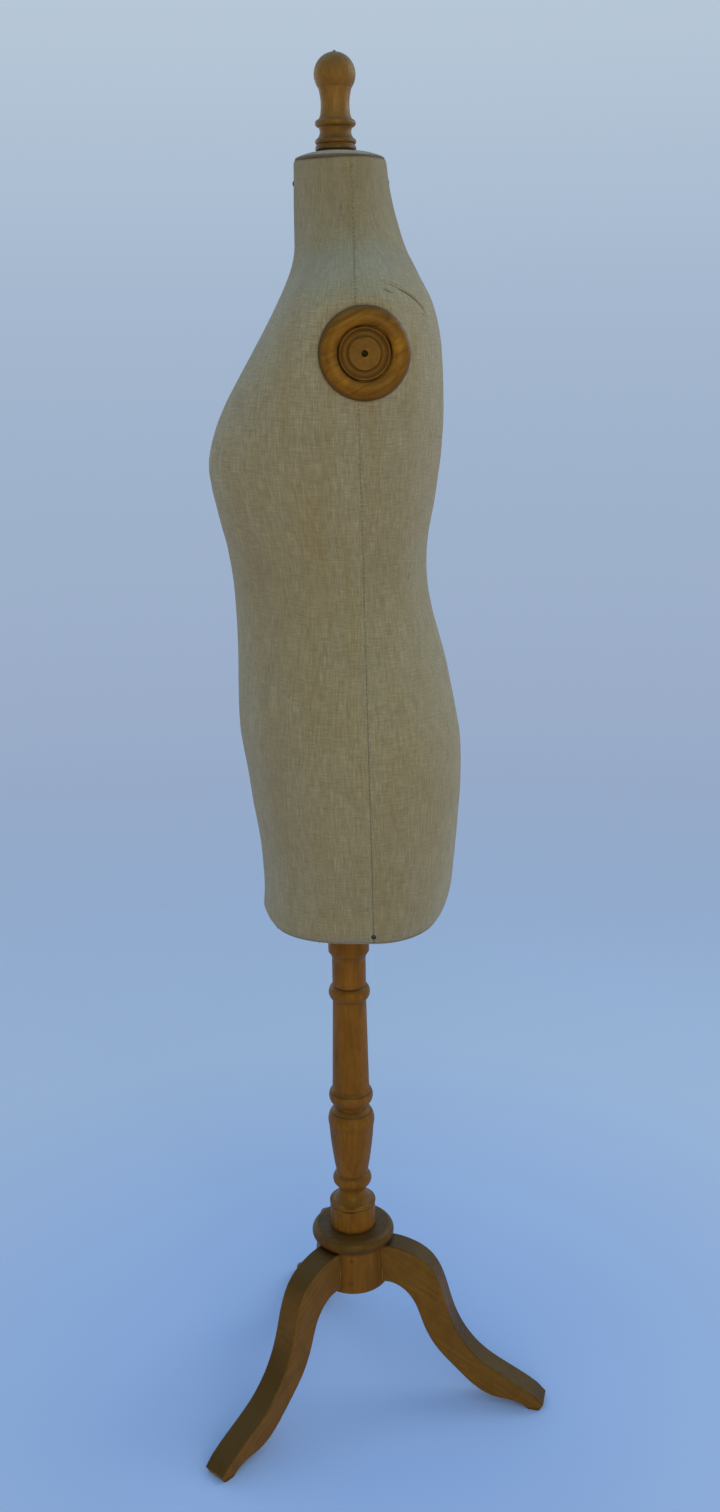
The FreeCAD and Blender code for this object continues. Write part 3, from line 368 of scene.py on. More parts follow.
def hole_shade(tree):
    """Painted shade: inside the hole in the middle of a shoulder cap everything is painted nearly
    black.
    """
    return tree.between(from_cap_axis(tree), 4 * MM, 10 * MM, 1.0, 0.0)


def knob_darker_low(tree):
    """The knob is darker towards its rings at the bottom."""
    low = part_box("finial")[0].z
    return tree.between(tree.height(), low, low + 45 * MM, 0.75, 0.0)


def neck_edge_grime_and_shadow(tree):
    """A dark line where the cover turns in at the top of the neck: grime, and painted shadow under
    the disc's edge.
    """
    uneven = tree.noise((90, 90, 90), 3.0, 0.6)
    line = tree.between(tree.height(), NECK_TOP - 2.2 * MM, NECK_TOP - 0.8 * MM, 0.0, 0.75)
    return tree.math("MULTIPLY", line, tree.between(uneven, 0.3, 0.6, 0.55, 1.0))


def disc_rim_dirt(tree):
    """The disc on the neck is rubbed dark round its rim."""
    centre = middle("neck_cap")
    level = tree.add("ShaderNodeVectorMath", {
        0: tree.place((1, 1, 0), shift=(-centre.x, -centre.y, 0))}, 1, operation="LENGTH")
    return tree.between(level, 44.5 * MM, 47.2 * MM, 0.0, 0.85)


def leg_turn(node):
    """The turn that lays a material's grain along a leg, from the pole out and down."""
    way = middle(node).xy - POLE
    fall = 0.8 * middle(node).z
    tilt = math.atan2(way.length, fall)
    round_pole = Matrix.Rotation(-math.atan2(way.y, way.x), 3, "Z")
    return tuple((Matrix.Rotation(tilt, 3, "Y") @ round_pole).to_euler())


def give(material, *nodes):
    for node in nodes:
        for slot in NODES[node].material_slots:
            slot.material = material


SCORCHED = (0.238, 0.266, 0.410)  # heights above the column's lower end of the lines burnt round it


def finish_cad_nodes():
    """Gives the CAD nodes their materials."""
    scorched = [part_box("column")[0].z + up for up in SCORCHED]
    scorched.append(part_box("pole_collar")[1].z - 1.8 * MM)
    turned = wood("turned_wood", *GOLD, topped=0.45, lines=scorched)
    give(turned, "column", "pole_collar", "pole_socket", "hub_body")
    give(wood("disc_wood", *DISC_GOLD, turn=(math.radians(90), 0, 0.4), topped=0.6), "hub_disc")
    for node in ("leg_left_front", "leg_rear", "leg_right"):
        give(wood(f"{node}_wood", *LEG_GOLD, turn=leg_turn(node), wear=0.9, figure=0.4,
                  topped=0.85), node)
    give(wood("finial_wood", *KNOB_GOLD, shift=(0.4, 0.1, 0), darkening=knob_darker_low, figure=0.8), "finial")
    for node, shift in (("shoulder_cap_left", (0, 0.02, 0)), ("shoulder_cap_right", (0.5, 0.3, 0))):
        give(wood(f"{node}_wood", *CAP_GOLD, turn=(math.radians(62), 0, 0), grain=0.75, gloss=0.36,
                  shift=shift, darkening=cap_dark_rings, figure=2.2), node)
    give(wood("peg_wood", *PEG_BROWN, turn=(0, math.radians(90), 0)), "pole_pegs")
    inner = wood("inner_wood", *PALE_WOOD)
    give(inner, "inner_post", "leg_dowels", "neck_block", "socket_block")
    # The shoulder blocks, with painted shade where they lie deep in the caps' holes.
    hole_shaded = wood("block_wood", *HOLE_SHADED_WOOD, darkening=hole_shade)
    give(hole_shaded, "shoulder_block_left", "shoulder_block_right")
    board = wood("board_wood", *BOARD_WOOD, turn=(0, math.radians(90), 0), grain=0.8, gloss=0.7,
                 wear=0.2)
    give(board, "base_board", "guide_board")
    give(papier_mache("papier_mache"), "shell_front", "shell_back")
    give(felt("felt", colour(78, 70, 56), colour(44, 38, 30)), "swivel_washer")
    give(leather("leather", colour(70, 42, 24), colour(36, 22, 14)), "knob_washer")
    steel = metal("steel", colour(150, 148, 142), colour(96, 70, 46))
    give(steel, "block_screws", "board_nails", "neck_insert", "finial_stud")
    tacks = metal("tack_steel", colour(64, 58, 52), colour(52, 34, 22))
    give(tacks, "hem_tacks", "under_tacks", "neck_tacks")
    give(linen("neck_linen", *NECK_LINEN, uv=False, darkening=disc_rim_dirt), "neck_cap")


# ---- the linen cover ----

SEAM_COLUMNS = 64               # columns of the simulated cloth over each of the front and the back
CLOTH_STEP = 6.5 * MM           # and how far apart its rows are
COVER_THICK = 1.0 * MM
LARGE = 10                      # the simulation runs this many times as large as life
LAST_FRAME = 12
LIFT = (-0.05 * MM, 3 * MM)     # the lowest and the highest that it may leave a point of the cloth
SLIDE = 2 * MM                  # and the furthest along the surface
WAIST = 1.03
STEP_HIGH = 13 * MM             # the frayed step, up from the hem
STEP_ASIDE = 45 * MM            # and across from the pole
DARTS = ((72 * MM, 0.955, 1.120),)  # across from the pole, lowest and highest point
PUCKER_PITCH = 7.5 * MM         # of the small gathers along a seam
LOWEST = -0.8 * MM              # relief deeper than this would show the shell under the linen
# Where a crease gets painted shade, the relief goes no deeper than this.
LOWEST_SHADED = -0.5 * MM
NECK_ROUND = (4 * MM, 0.9 * MM)  # how high and how deep the cover rounds in at the top of the neck
SPIGOT_HOLE = 15 * MM           # radius of the hole in the linen under each shoulder cap


def seam_y(z):
    """The side seam leans: its place in y at a height."""
    share = (z - HEM) / (NECK_TOP - HEM)
    return SEAM_AT_HEM + (SEAM_AT_NECK - SEAM_AT_HEM) * share


def tree_of(*nodes):
    """One search tree over the surfaces of several nodes."""
    points, faces = [], []
    for node in nodes:
        mesh = NODES[node].data
        start = len(points)
        points += [v.co.copy() for v in mesh.vertices]
        faces += [[start + i for i in f.vertices] for f in mesh.polygons]
    return BVHTree.FromPolygons(points, faces)


def reach(surface, z, turn):
    """Where a level ray from outside, at an angle round the seam's plane, meets the surface."""
    centre = Vector((POLE.x, seam_y(z), z))
    way = Vector((math.cos(turn), math.sin(turn), 0))
    flat = centre + way * (PLATE / max(abs(way.x), 1e-6))
    if (flat.yz - CAP).length < CAP_RADIUS:
        return flat
    far = 0.5
    hits = []
    # Two rays a little apart, so that one still hits where the other slips through an edge.
    for nudge in (-0.07 * MM, 0.05 * MM):
        start = centre + way * far + Vector((0, 0, nudge)) + way.yxz * Vector((-nudge, nudge, 0))
        hit = surface.ray_cast(start, -way, far)[0]
        if hit is not None:
            hits.append((hit - centre).dot(way))
    return centre + way * max(hits)


def level_outline(surface, z, columns, fine=6):
    """Points evenly spaced along one level outline: the back half, then the front half."""
    row = []
    for half in (0, 1):
        turns = [math.pi * (half + i / (columns * fine)) for i in range(columns * fine + 1)]
        points = [reach(surface, z, turn) for turn in turns]
        gone = np.cumsum([0] + [(b - a).length for a, b in zip(points, points[1:])])
        wanted = np.linspace(0, gone[-1], columns + 1)[:-1]
        flat = np.array([p[:] for p in points])
        row += list(np.stack([np.interp(wanted, gone, flat[:, k]) for k in range(3)], axis=1))
    return np.array(row)


def even_levels(surface, step):
    """Heights that are one step apart along the side of the torso, from the hem to the neck."""
    inside, samples, at_seam = 0.2 * MM, 900, 0.001
    fine = np.linspace(HEM + inside, NECK_TOP - inside, samples)
    side = np.array([reach(surface, z, at_seam).x for z in fine])
    gone = np.concatenate([[0], np.cumsum(np.hypot(np.diff(side), np.diff(fine)))])
    rows = round(gone[-1] / step)
    return np.interp(np.linspace(0, gone[-1], rows + 1), gone, fine)


def cover_rows(surface):
    """The cover as rows of points, from the hem up, each going once round the torso."""
    levels = even_levels(surface, CLOTH_STEP)
    return np.array([level_outline(surface, z, SEAM_COLUMNS) for z in levels])


def grid_faces(rows, columns, closed):
    across = columns if closed else columns - 1
    return [
        (r * columns + c, r * columns + (c + 1) % columns,
         (r + 1) * columns + (c + 1) % columns, (r + 1) * columns + c)
        for r in range(rows - 1) for c in range(across)
    ]


def new_object(name, points, faces, material=None):
    mesh = bpy.data.meshes.new(name)
    mesh.from_pydata([tuple(p) for p in points], [], faces)
    mesh.update()
    made = bpy.data.objects.new(name, mesh)
    bpy.context.scene.collection.objects.link(made)
    if material is not None:
        mesh.materials.append(material)
    for face in mesh.polygons:
        face.use_smooth = True
    return made


def points_of(thing):
    flat = np.empty(len(thing.data.vertices) * 3, np.float32)
    thing.data.vertices.foreach_get("co", flat)
    return flat.reshape(-1, 3).astype(float)


def drop_loose(thing):
    mesh = bmesh.new()
    mesh.from_mesh(thing.data)
    bmesh.ops.delete(mesh, geom=[v for v in mesh.verts if not v.link_faces], context="VERTS")
    mesh.to_mesh(thing.data)
    mesh.free()


def apply_modifiers(thing):
    graph = bpy.context.evaluated_depsgraph_get()
    mesh = bpy.data.meshes.new_from_object(thing.evaluated_get(graph))
    thing.modifiers.clear()
    thing.data = mesh


def pinned_points(rows):
    """The points of the cloth that are held: at its hem, neck, side seams and armholes."""
    count, columns = rows.shape[:2]
    edge_rows, armhole = 2, CAP_RADIUS + 3 * MM
    pinned = []
    for index, point in enumerate(rows.reshape(-1, 3)):
        row, column = divmod(index, columns)
        at_edge = row < edge_rows or row >= count - edge_rows
        at_seam = column % SEAM_COLUMNS == 0
        near_cap = math.hypot(point[1] - CAP.x, point[2] - CAP.y) < armhole
        if at_edge or at_seam or (near_cap and abs(point[0] - POLE.x) > ON_PLATE):
            pinned.append(index)
    return pinned


def add_cloth(thing, held):
    """Blender's cloth, stiff and a little shrunk, held at the points of a vertex group."""
    modifier = thing.modifiers.new("cloth", "CLOTH")
    settings = modifier.settings
    settings.quality = 5
    settings.mass = 0.3
    settings.tension_stiffness = 40
    settings.compression_stiffness = 40
    settings.shear_stiffness = 10
    settings.bending_stiffness = 1.0
    settings.vertex_group_mass = held
    settings.pin_stiffness = 5
    settings.shrink_min = 0.015
    settings.effector_weights.gravity = 0.1
    modifier.collision_settings.distance_min = 0.4 * MM * LARGE
    modifier.collision_settings.collision_quality = 2
    modifier.collision_settings.use_self_collision = False
    modifier.point_cache.frame_end = LAST_FRAME


def tighten(rows):
    """Draws the cloth tight over the torso by simulation, held at its hem, neck, seams and armholes.

    It runs larger than life, because the cloth solver keeps surfaces at least a millimetre apart.
    Afterwards each point is kept within a few millimetres of where it started.
    """
    count, columns = rows.shape[:2]
    out = grid_normals(np.concatenate([rows[:, -1:], rows, rows[:, :1]], axis=1))[:, 1:-1]
    faces = grid_faces(count, columns, True)
    under = new_object("under", ((rows - out * COVER_THICK) * LARGE).reshape(-1, 3), faces)
    under.modifiers.new("collision", "COLLISION")
    under.collision.thickness_outer = 0.5 * MM * LARGE
    under.collision.thickness_inner = 12 * MM * LARGE
    under.collision.cloth_friction = 8
    cloth = new_object("cloth", (rows * LARGE).reshape(-1, 3), faces)
    cloth.vertex_groups.new(name="held").add(pinned_points(rows), 1.0, "REPLACE")
    add_cloth(cloth, "held")
    for step in range(1, LAST_FRAME + 1):
        bpy.context.scene.frame_set(step)
    apply_modifiers(cloth)
    moved = points_of(cloth).reshape(rows.shape) / LARGE - rows
    bpy.context.scene.frame_set(1)
    for thing in (cloth, under):
        bpy.data.objects.remove(thing)
    lifted = np.sum(moved * out, axis=2, keepdims=True)
    slid = moved - lifted * out
    slid *= np.minimum(1, SLIDE / np.maximum(np.linalg.norm(slid, axis=2, keepdims=True), 1e-9))
    return rows + slid + np.clip(lifted, *LIFT) * out


def spline_along(values, places, axis):
    """A smooth curve through values at whole-number places along an axis, read at other places."""
    values = np.moveaxis(values, axis, 0)
    last = len(values) - 1
    low = np.clip(np.floor(places).astype(int), 0, last - 1)
    t = (places - low).reshape((-1,) + (1,) * (values.ndim - 1))
    p0, p1 = values[np.maximum(low - 1, 0)], values[low]
    p2, p3 = values[low + 1], values[np.minimum(low + 2, last)]
    made = 0.5 * ((2 * p1) + (p2 - p0) * t + (2 * p0 - 5 * p1 + 4 * p2 - p3) * t ** 2
                  + (3 * p1 - p0 - 3 * p2 + p3) * t ** 3)
    return np.moveaxis(made, 0, axis)


def grid_normals(grid):
    """Outward normals of a grid of points: along rows, then up."""
    along = np.gradient(grid, axis=1)
    up = np.gradient(grid, axis=0)
    out = np.cross(along, up)
    return out / np.maximum(np.linalg.norm(out, axis=2, keepdims=True), 1e-12)


def arc_from(grid, axis):
    """How far along a grid's rows or columns each of its points is."""
    steps = np.linalg.norm(np.diff(grid, axis=axis), axis=2)
    start = np.zeros_like(np.take(steps, [0], axis=axis))
    return np.cumsum(np.concatenate([start, steps], axis=axis), axis=axis)


def bell(away, wide):
    return np.exp(-(away / wide) ** 2)


def fabric_noise(grid, scale, seed):
    """Smooth noise at each point of a grid, about as many bumps a metre as its scale."""
    shift = Vector((seed, 2.7 * seed, 0.3 * seed))
    flat = grid.reshape(-1, 3)
    made = [noise.noise(Vector(p) * scale + shift) for p in flat]
    return np.array(made).reshape(grid.shape[:2])


def crease(grid, line, wide):
    """How much of a fold there is, from 0 to 1, along a line of points, fading out at its ends."""
    total = np.zeros(grid.shape[:2])
    ends = len(line) - 1
    for number, (a, b) in enumerate(zip(line, line[1:])):
        start, way = np.array(a), np.array(b) - np.array(a)
        t = np.clip(((grid - start) @ way) / (way @ way), 0, 1)
        away = np.linalg.norm(grid - start - t[..., None] * way, axis=2)
        along = (number + t) / ends
        fade = np.sin(np.pi * np.clip(along, 0.0, 1.0)) ** 0.6
        total = np.maximum(total, bell(away, wide) * fade)
    return total


def frayed_step(grid):
    """Low on the front left the cover is patched, and above the patch's edge it stands proud."""
    edge = HEM + STEP_HIGH + 0.8 * MM * fabric_noise(grid, 160, 9.9)
    above = grid[..., 2] - edge
    proud = np.clip(above / (0.9 * MM), 0, 1) * np.exp(-np.maximum(above, 0) / (14 * MM))
    aside = grid[..., 0] - POLE.x - STEP_ASIDE
    beside = np.exp(-(aside / (45 * MM)) ** 4)
    return 1.9 * MM * proud * beside


def finer(count, steps, spots):
    """Places along a row of cells: a number of steps to each, and more in the spots."""
    places = [float(count)]
    for cell in range(count):
        here = max([steps] + [more for low, high, more in spots if low <= cell < high])
        places += [cell + i / here for i in range(here)]
    return np.array(sorted(places))


def cells_near(values, low, high):
    """The first and last cell of a rising or falling row of values that lie between two."""
    within = np.nonzero((values > low) & (values < high))[0]
    return (int(within.min()) - 1, int(within.max()) + 2) if len(within) else (0, 0)


def refined(part, creases, darts):
    """A panel's grid made finer, and finest at its seams, edges, darts and creases."""
    levels = part[:, 0, 2]
    at_waist = part[np.argmin(np.abs(levels - WAIST)), :, 0] - POLE.x
    column_spots = [(0, 1, 8), (SEAM_COLUMNS - 1, SEAM_COLUMNS, 8)]
    row_spots = [(len(part) - 3, len(part), 6)]
    if darts:
        step = HEM + STEP_HIGH
        row_spots.append((*cells_near(levels, step - 4 * MM, step + 4 * MM), 8))
    for x, _, _ in darts:
        for side in (-1, 1):
            column_spots.append((*cells_near(at_waist, side * x - 7 * MM, side * x + 7 * MM), 6))
    if creases:
        column_spots.append((3, 15, 9))
        row_spots.append((*cells_near(levels, CAP.y + 30 * MM, CAP.y + 76 * MM), 9))
    fine = spline_along(part, finer(SEAM_COLUMNS, 2, column_spots), 1)
    return spline_along(fine, finer(len(part) - 1, 2, row_spots), 0)


def panel_relief(fine, across, up, creases, darts):
    """How far the linen stands in or out at each point of a panel, and how much painted shade its
    creases get.
    """
    from_seam = np.minimum(across, across[:, -1:] - across)
    height = fine[..., 2]
    relief = 0.22 * MM * fabric_noise(fine, 21, 3.1) + 0.10 * MM * fabric_noise(fine, 70, 8.4)
    pucker = np.sin(up * 2 * math.pi / PUCKER_PITCH + 2 * fabric_noise(fine, 30, 5.5))
    sewn = np.interp(height, [HEM, CAP.y - 0.28, CAP.y - 0.10, CAP.y], [0.75, 0.36, 0.10, 0.0])
    relief += 0.16 * MM * sewn * pucker * bell(from_seam, 6 * MM)
    relief -= 0.8 * MM * sewn * bell(from_seam, 0.7 * MM)
    for x, low, high in darts:
        away = np.abs(np.abs(fine[..., 0] - POLE.x) - x)
        fade = np.clip(np.minimum(height - low, high - height) / (25 * MM), 0, 1)
        relief -= 0.6 * MM * bell(away, 0.9 * MM) * fade
        relief += 0.12 * MM * pucker * bell(away, 5 * MM) * fade
    crease_shade = np.zeros(height.shape)
    for line, wide, deep in creases:
        relief += deep * crease(fine, line, wide)
        # Folds that go in get painted shade along their valleys.
        if deep < 0:
            shaded_fold = crease(fine, line, 1.8 * wide) * min(1.0, -deep / (1.6 * MM))
            crease_shade = np.maximum(crease_shade, shaded_fold)
    if darts:
        relief += frayed_step(fine)
    return np.maximum(relief, np.where(crease_shade > 0.01, LOWEST_SHADED, LOWEST)), crease_shade


def displaced(fine, relief):
    """A panel's grid moved out by its relief, and rounded in at the top of the neck."""
    out = grid_normals(fine)
    high, deep = NECK_ROUND
    turned = np.clip((fine[..., 2] - (NECK_TOP - high)) / high, 0, 1)
    relief = relief - deep * (1 - np.sqrt(1 - 0.97 * turned ** 2))
    level = out * np.array([1, 1, 0])
    return fine + np.where(turned[..., None] > 0, level, out) * relief[..., None]


def panel_mesh(name, fine, across, up, crease_shade, material):
    """The mesh of a panel, open under the shoulder cap, with its flat cloth's size as its UV map."""
    flat = fine.reshape(-1, 3)
    opened = ((np.hypot(flat[:, 1] - CAP.x, flat[:, 2] - CAP.y) < SPIGOT_HOLE)
              & (np.abs(flat[:, 0] - POLE.x) > ON_PLATE))
    faces = [face for face in grid_faces(*fine.shape[:2], False) if not any(opened[i] for i in face)]
    made = new_object(name, flat, faces, material)
    layer = made.data.uv_layers.new(name="cloth")
    width = across[:, -1:]
    flat_across = ((across / width - 0.5) * width.mean()).reshape(-1)
    flat_up = up.reshape(-1)
    for loop in made.data.loops:
        layer.data[loop.index].uv = (flat_across[loop.vertex_index], flat_up[loop.vertex_index])
    # The painted crease shade, kept on the mesh for the linen material.
    marks = made.data.attributes.new("crease_shade", "FLOAT", "POINT")
    marks.data.foreach_set("value", crease_shade.reshape(-1))
    drop_loose(made)
    thick = made.modifiers.new("thickness", "SOLIDIFY")
    thick.thickness = 0.8 * MM
    thick.offset = -1
    return made


def panel(rows, start, name, material, creases, darts):
    """One linen panel between the side seams: its object, its grid, its flat size and its area."""
    ring = np.concatenate([rows, rows[:, :1]], axis=1)
    fine = refined(ring[:, start:start + SEAM_COLUMNS + 1], creases, darts)
    across, up = arc_from(fine, 1), arc_from(fine, 0)
    relief, crease_shade = panel_relief(fine, across, up, creases, darts)
    fine = displaced(fine, relief)
    made = panel_mesh(name, fine, across, up, crease_shade, material)
    sides = np.cross(np.diff(fine, axis=1)[:-1], np.diff(fine, axis=0)[:, :-1])
    area = float(np.linalg.norm(sides, axis=2).sum())
    return made, fine, (float(across[:, -1].max()), float(up[-1].max())), area


def on_side(surface, y, z):
    """The point on the left side of the torso that has this y and z."""
    start = Vector((0.5, y, z))
    return tuple(surface.ray_cast(start, Vector((-1, 0, 0)), start.x)[0])


def folds(surface):
    """The creases on the left side, of the back panel and of the front one.

    Each is a line of points, a width, and a height that is below zero for a fold that goes in.
    """
    def line(*places):
        return [on_side(surface, CAP.x + dy, CAP.y + dz) for dy, dz in places]

    behind = [
        (line((0.018, 0.067), (0.027, 0.065), (0.035, 0.0605), (0.043, 0.057), (0.051, 0.051),
              (0.059, 0.043), (0.065, 0.032)), 0.9 * MM, -2.6 * MM),
        (line((0.016, 0.070), (0.028, 0.068), (0.037, 0.063), (0.050, 0.055), (0.066, 0.034)),
         2.6 * MM, 1.3 * MM),
        (line((0.018, 0.062), (0.024, 0.0585), (0.029, 0.0565)), 0.8 * MM, -1.6 * MM),
        (line((0.044, -0.239), (0.0465, -0.229)), 1.8 * MM, -0.9 * MM),
        (line((-0.002, -0.247), (0.030, -0.238)), 3.0 * MM, -0.35 * MM),
    ]
    for step in range(6):
        y, z = 0.056 + 0.0022 * step, 0.040 - 0.008 * step
        behind.append((line((y, z), (y + 0.007, z - 0.008)), 1.1 * MM, -0.6 * MM))
    before = [(line((-0.056, -0.267), (-0.030, -0.257), (-0.006, -0.249)), 2.6 * MM, -0.5 * MM)]
    return behind, before


def tube(path, radius, sides=6):
    """Points and faces of a round thread along a path, closed at its ends."""
    points = []
    for index, place in enumerate(path):
        before, after = path[max(index - 1, 0)], path[min(index + 1, len(path) - 1)]
        way = (after - before).normalized()
        side = way.cross(Vector((0, 0, 1)) if abs(way.z) < 0.9 else Vector((1, 0, 0))).normalized()
        up = side.cross(way)
        for k in range(sides):
            angle = 2 * math.pi * k / sides
            points.append(place + (side * math.cos(angle) + up * math.sin(angle)) * radius)
    faces = grid_faces(len(path), sides, True)
    faces.append(tuple(reversed(range(sides))))
    faces.append(tuple(range((len(path) - 1) * sides, len(path) * sides)))
    return points, faces


def threads(name, paths, radius, material):
    """Several threads as one piece that rides on the torso."""
    points, faces = [], []
    for path in paths:
        more_points, more_faces = tube(path, radius)
        faces += [tuple(i + len(points) for i in face) for face in more_faces]
        points += more_points
    made = new_object(name, points, faces, material)
    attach(made, "torso")


def seam_stitches(name, fine, material, chance):
    """Slip stitches across a panel's first side seam: a short slanted bar every few millimetres."""
    pitch, reach_across, radius, ends = 5.2 * MM, 1.25 * MM, 0.2 * MM, 6 * MM
    line, beside = fine[:, 0], fine[:, 3]
    gone = np.concatenate([[0], np.cumsum(np.linalg.norm(np.diff(line, axis=0), axis=1))])
    paths = []
    for place in np.arange(ends, gone[-1] - ends, pitch):
        place += chance.uniform(-0.5, 0.5) * MM
        at = Vector([np.interp(place, gone, line[:, k]) for k in range(3)])
        further = Vector([np.interp(place + MM, gone, line[:, k]) for k in range(3)])
        aside = Vector([np.interp(place, gone, beside[:, k]) for k in range(3)])
        along = (further - at).normalized()
        across = (aside - at).normalized()
        out = along.cross(across).normalized()
        if out.dot(Vector((at.x - POLE.x, 0, 0))) < 0:
            out = -out
        slant = along * chance.uniform(0.5, 1.1) * MM
        paths.append([
            at + across * t * reach_across + slant * t + out * (0.55 - 0.75 * t * t) * MM
            for t in (-1, -0.6, -0.2, 0.2, 0.6, 1)
        ])
    threads(name, paths, radius, material)


# The turned hem in from its edge, in millimetres: how far in, how far down, how much it gathers.
HEM_PROFILE = (
    (0.0, -0.8, 0), (-0.1, 0.1, 0), (0.3, 0.7, 0.1), (1.2, 1.0, 0.2), (4, 1.0, 0.5), (8, 0.9, 0.8),
    (12, 0.8, 1), (16, 0.9, 1.1), (20, 1.1, 1.2),
)
PLEATS = 58


def turned_hem(ring, material):
    """The linen folded under the base board: small pleats held by tacks, with a raw inner edge."""
    def round_noise(size, seed):
        return np.array([
            noise.noise(Vector((size * math.cos(a), size * math.sin(a), seed))) for a in angle
        ])

    count = len(ring) * 3
    places = np.linspace(0, len(ring), count + 1)[:-1]
    around = spline_along(np.concatenate([ring, ring[:2]]), places, 0)
    centre = np.array([POLE.x, (around[:, 1].max() + around[:, 1].min()) / 2, 0])
    ahead = np.roll(around, -1, axis=0) - np.roll(around, 1, axis=0)
    inside = np.stack([-ahead[:, 1], ahead[:, 0], np.zeros(count)], axis=1)
    inside /= np.linalg.norm(inside, axis=1, keepdims=True)
    facing_out = np.sum(inside * (centre - around), axis=1) < 0
    inside[facing_out] *= -1
    angle = np.linspace(0, 2 * math.pi, count, endpoint=False)
    pleats = np.sin(angle * PLEATS + 5 * round_noise(3, 4.2))
    fray = round_noise(40, 1.7)
    rows = []
    for depth, drop, gather in HEM_PROFILE:
        row = around + inside * depth * MM
        row[:, 2] = HEM - drop * MM - gather * 0.5 * MM * (pleats + 1) * 0.6
        rows.append(row)
    rows[-1] += inside * (fray * 2.2 * MM)[:, None]
    grid = np.array(rows)
    faces = grid_faces(len(rows), count, True)
    made = new_object("turned_hem", grid.reshape(-1, 3), faces, material)
    layer = made.data.uv_layers.new(name="cloth")
    across = arc_from(grid, 1)
    down = arc_from(grid, 0)
    wide = float(across[0, -1])
    for face in made.data.polygons:
        for loop in face.loop_indices:
            row, column = divmod(made.data.loops[loop].vertex_index, count)
            u = across[0, column]
            if column == 0 and any(v % count == count - 1 for v in face.vertices):
                u = wide
            layer.data[loop].uv = (u, down[row, column])
    thick = made.modifiers.new("thickness", "SOLIDIFY")
    thick.thickness = 0.5 * MM
    thick.offset = -1
    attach(made, "torso")
    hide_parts("hem_turning")


def loose_threads(fine, material, chance):
    """A few frayed ends of yarn that hang from the hem, most at the front on the left."""
    row = fine[0]
    shares = (0.13, 0.145, 0.16, 0.21, 0.47, 0.78, 0.155, 0.9)
    paths = []
    for share in shares:
        at = row[int(share * len(row))]
        out = Vector((at[0] - POLE.x, at[1] - POLE.y, 0)).normalized()
        start = Vector(at) + out * 0.1 * MM + Vector((0, 0, 1.0 * MM))
        sideways = Vector((-out.y, out.x, 0)) * chance.uniform(-1, 1)
        long = chance.uniform(4, 9) * MM
        curl = chance.uniform(0.2, 0.7)
        paths.append([
            start + out * long * curl * math.sin(2.2 * t) * 0.5 + sideways * long * 0.6 * t * t
            - Vector((0, 0, long * 0.8 * t ** 1.4))
            for t in (i / 7 for i in range(8))
        ])
    threads("loose_threads", paths, 0.16 * MM, material)


def add_cover():
    """The linen: two panels, their stitches, the turned hem and a few loose threads."""
    chance = random.Random(11)
    surface = tree_of("cover_front", "cover_back")
    rows = cover_rows(surface)
    rows = tighten(rows)
    material = linen("linen", *LINEN, darkening=neck_edge_grime_and_shadow)
    sewing = linen("sewing_thread", *SEWING_THREAD, uv=False)
    behind, before = folds(surface)
    panels = (("back", 0, (), behind), ("front", SEAM_COLUMNS, DARTS, before))
    grids = {}
    for side, start, darts, creases in panels:
        made, fine, flat, area = panel(rows, start, f"linen_{side}", material, creases, darts)
        grids[side] = fine
        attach(made, "torso")
        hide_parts(f"cover_{side}")
    seam_stitches("seam_stitches_left", grids["back"], sewing, chance)
    seam_stitches("seam_stitches_right", grids["front"], sewing, chance)
    turned_hem(rows[0], material)
    loose_threads(grids["front"], sewing, chance)


def lathe(name, centre, base, profile, steps, material, body):
    """A turned piece about an upright axis: its profile is (radius, height) in millimetres."""
    points = []
    for radius, height in profile:
        for k in range(steps):
            angle = 2 * math.pi * k / steps
            points.append((centre.x + radius * MM * math.cos(angle),
                           centre.y + radius * MM * math.sin(angle), base + height * MM))
    made = new_object(name, points, grid_faces(len(profile), steps, True), material)
    mesh = bmesh.new()
    mesh.from_mesh(made.data)
    bmesh.ops.remove_doubles(mesh, verts=mesh.verts, dist=0.001 * MM)
    mesh.to_mesh(made.data)
    mesh.free()
    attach(made, body)
    return made


def neck_disc():
    """The thin domed disc on top of the neck, covered in linen and a little smaller than it."""
    low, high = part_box("neck_cap")
    rise = (high.z - low.z) / MM
    hole, edge, shoulder, crown, steps = 5.2, 47.6, 1.2, 22, 16
    profile = [(hole, 0.1), (edge - 1.0, 0.1), (edge - 0.2, 0.6), (edge, 1.4), (edge - 0.3, 2.3),
               (edge - shoulder, 3.0)]
    for step in range(1, steps + 1):
        radius = edge - shoulder - (edge - shoulder - crown) * step / steps
        profile.append((radius, 3.0 + (rise - 3.0) * math.sin(math.pi / 2 * step / steps) ** 0.9))
    profile += [(hole, rise), (hole, 0.1)]
    made = lathe("neck_disc", middle("neck_cap"), low.z, profile, 128,
                 NODES["neck_cap"].material_slots[0].material, "torso")
    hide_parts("neck_cap")


def knob_nib():
    """The little turned point left on top of the knob."""
    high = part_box("finial")[1]
    profile = ((3.2, -0.8), (2.2, -0.4), (1.6, 0.0), (1.5, 0.6), (1.35, 1.0), (0.9, 1.35),
               (0.3, 1.5), (0, 1.5))
    lathe("knob_nib", middle("finial"), high.z, profile, 40,
          bpy.data.materials["finial_wood"], "knob")


# ---- floor, light and camera ----

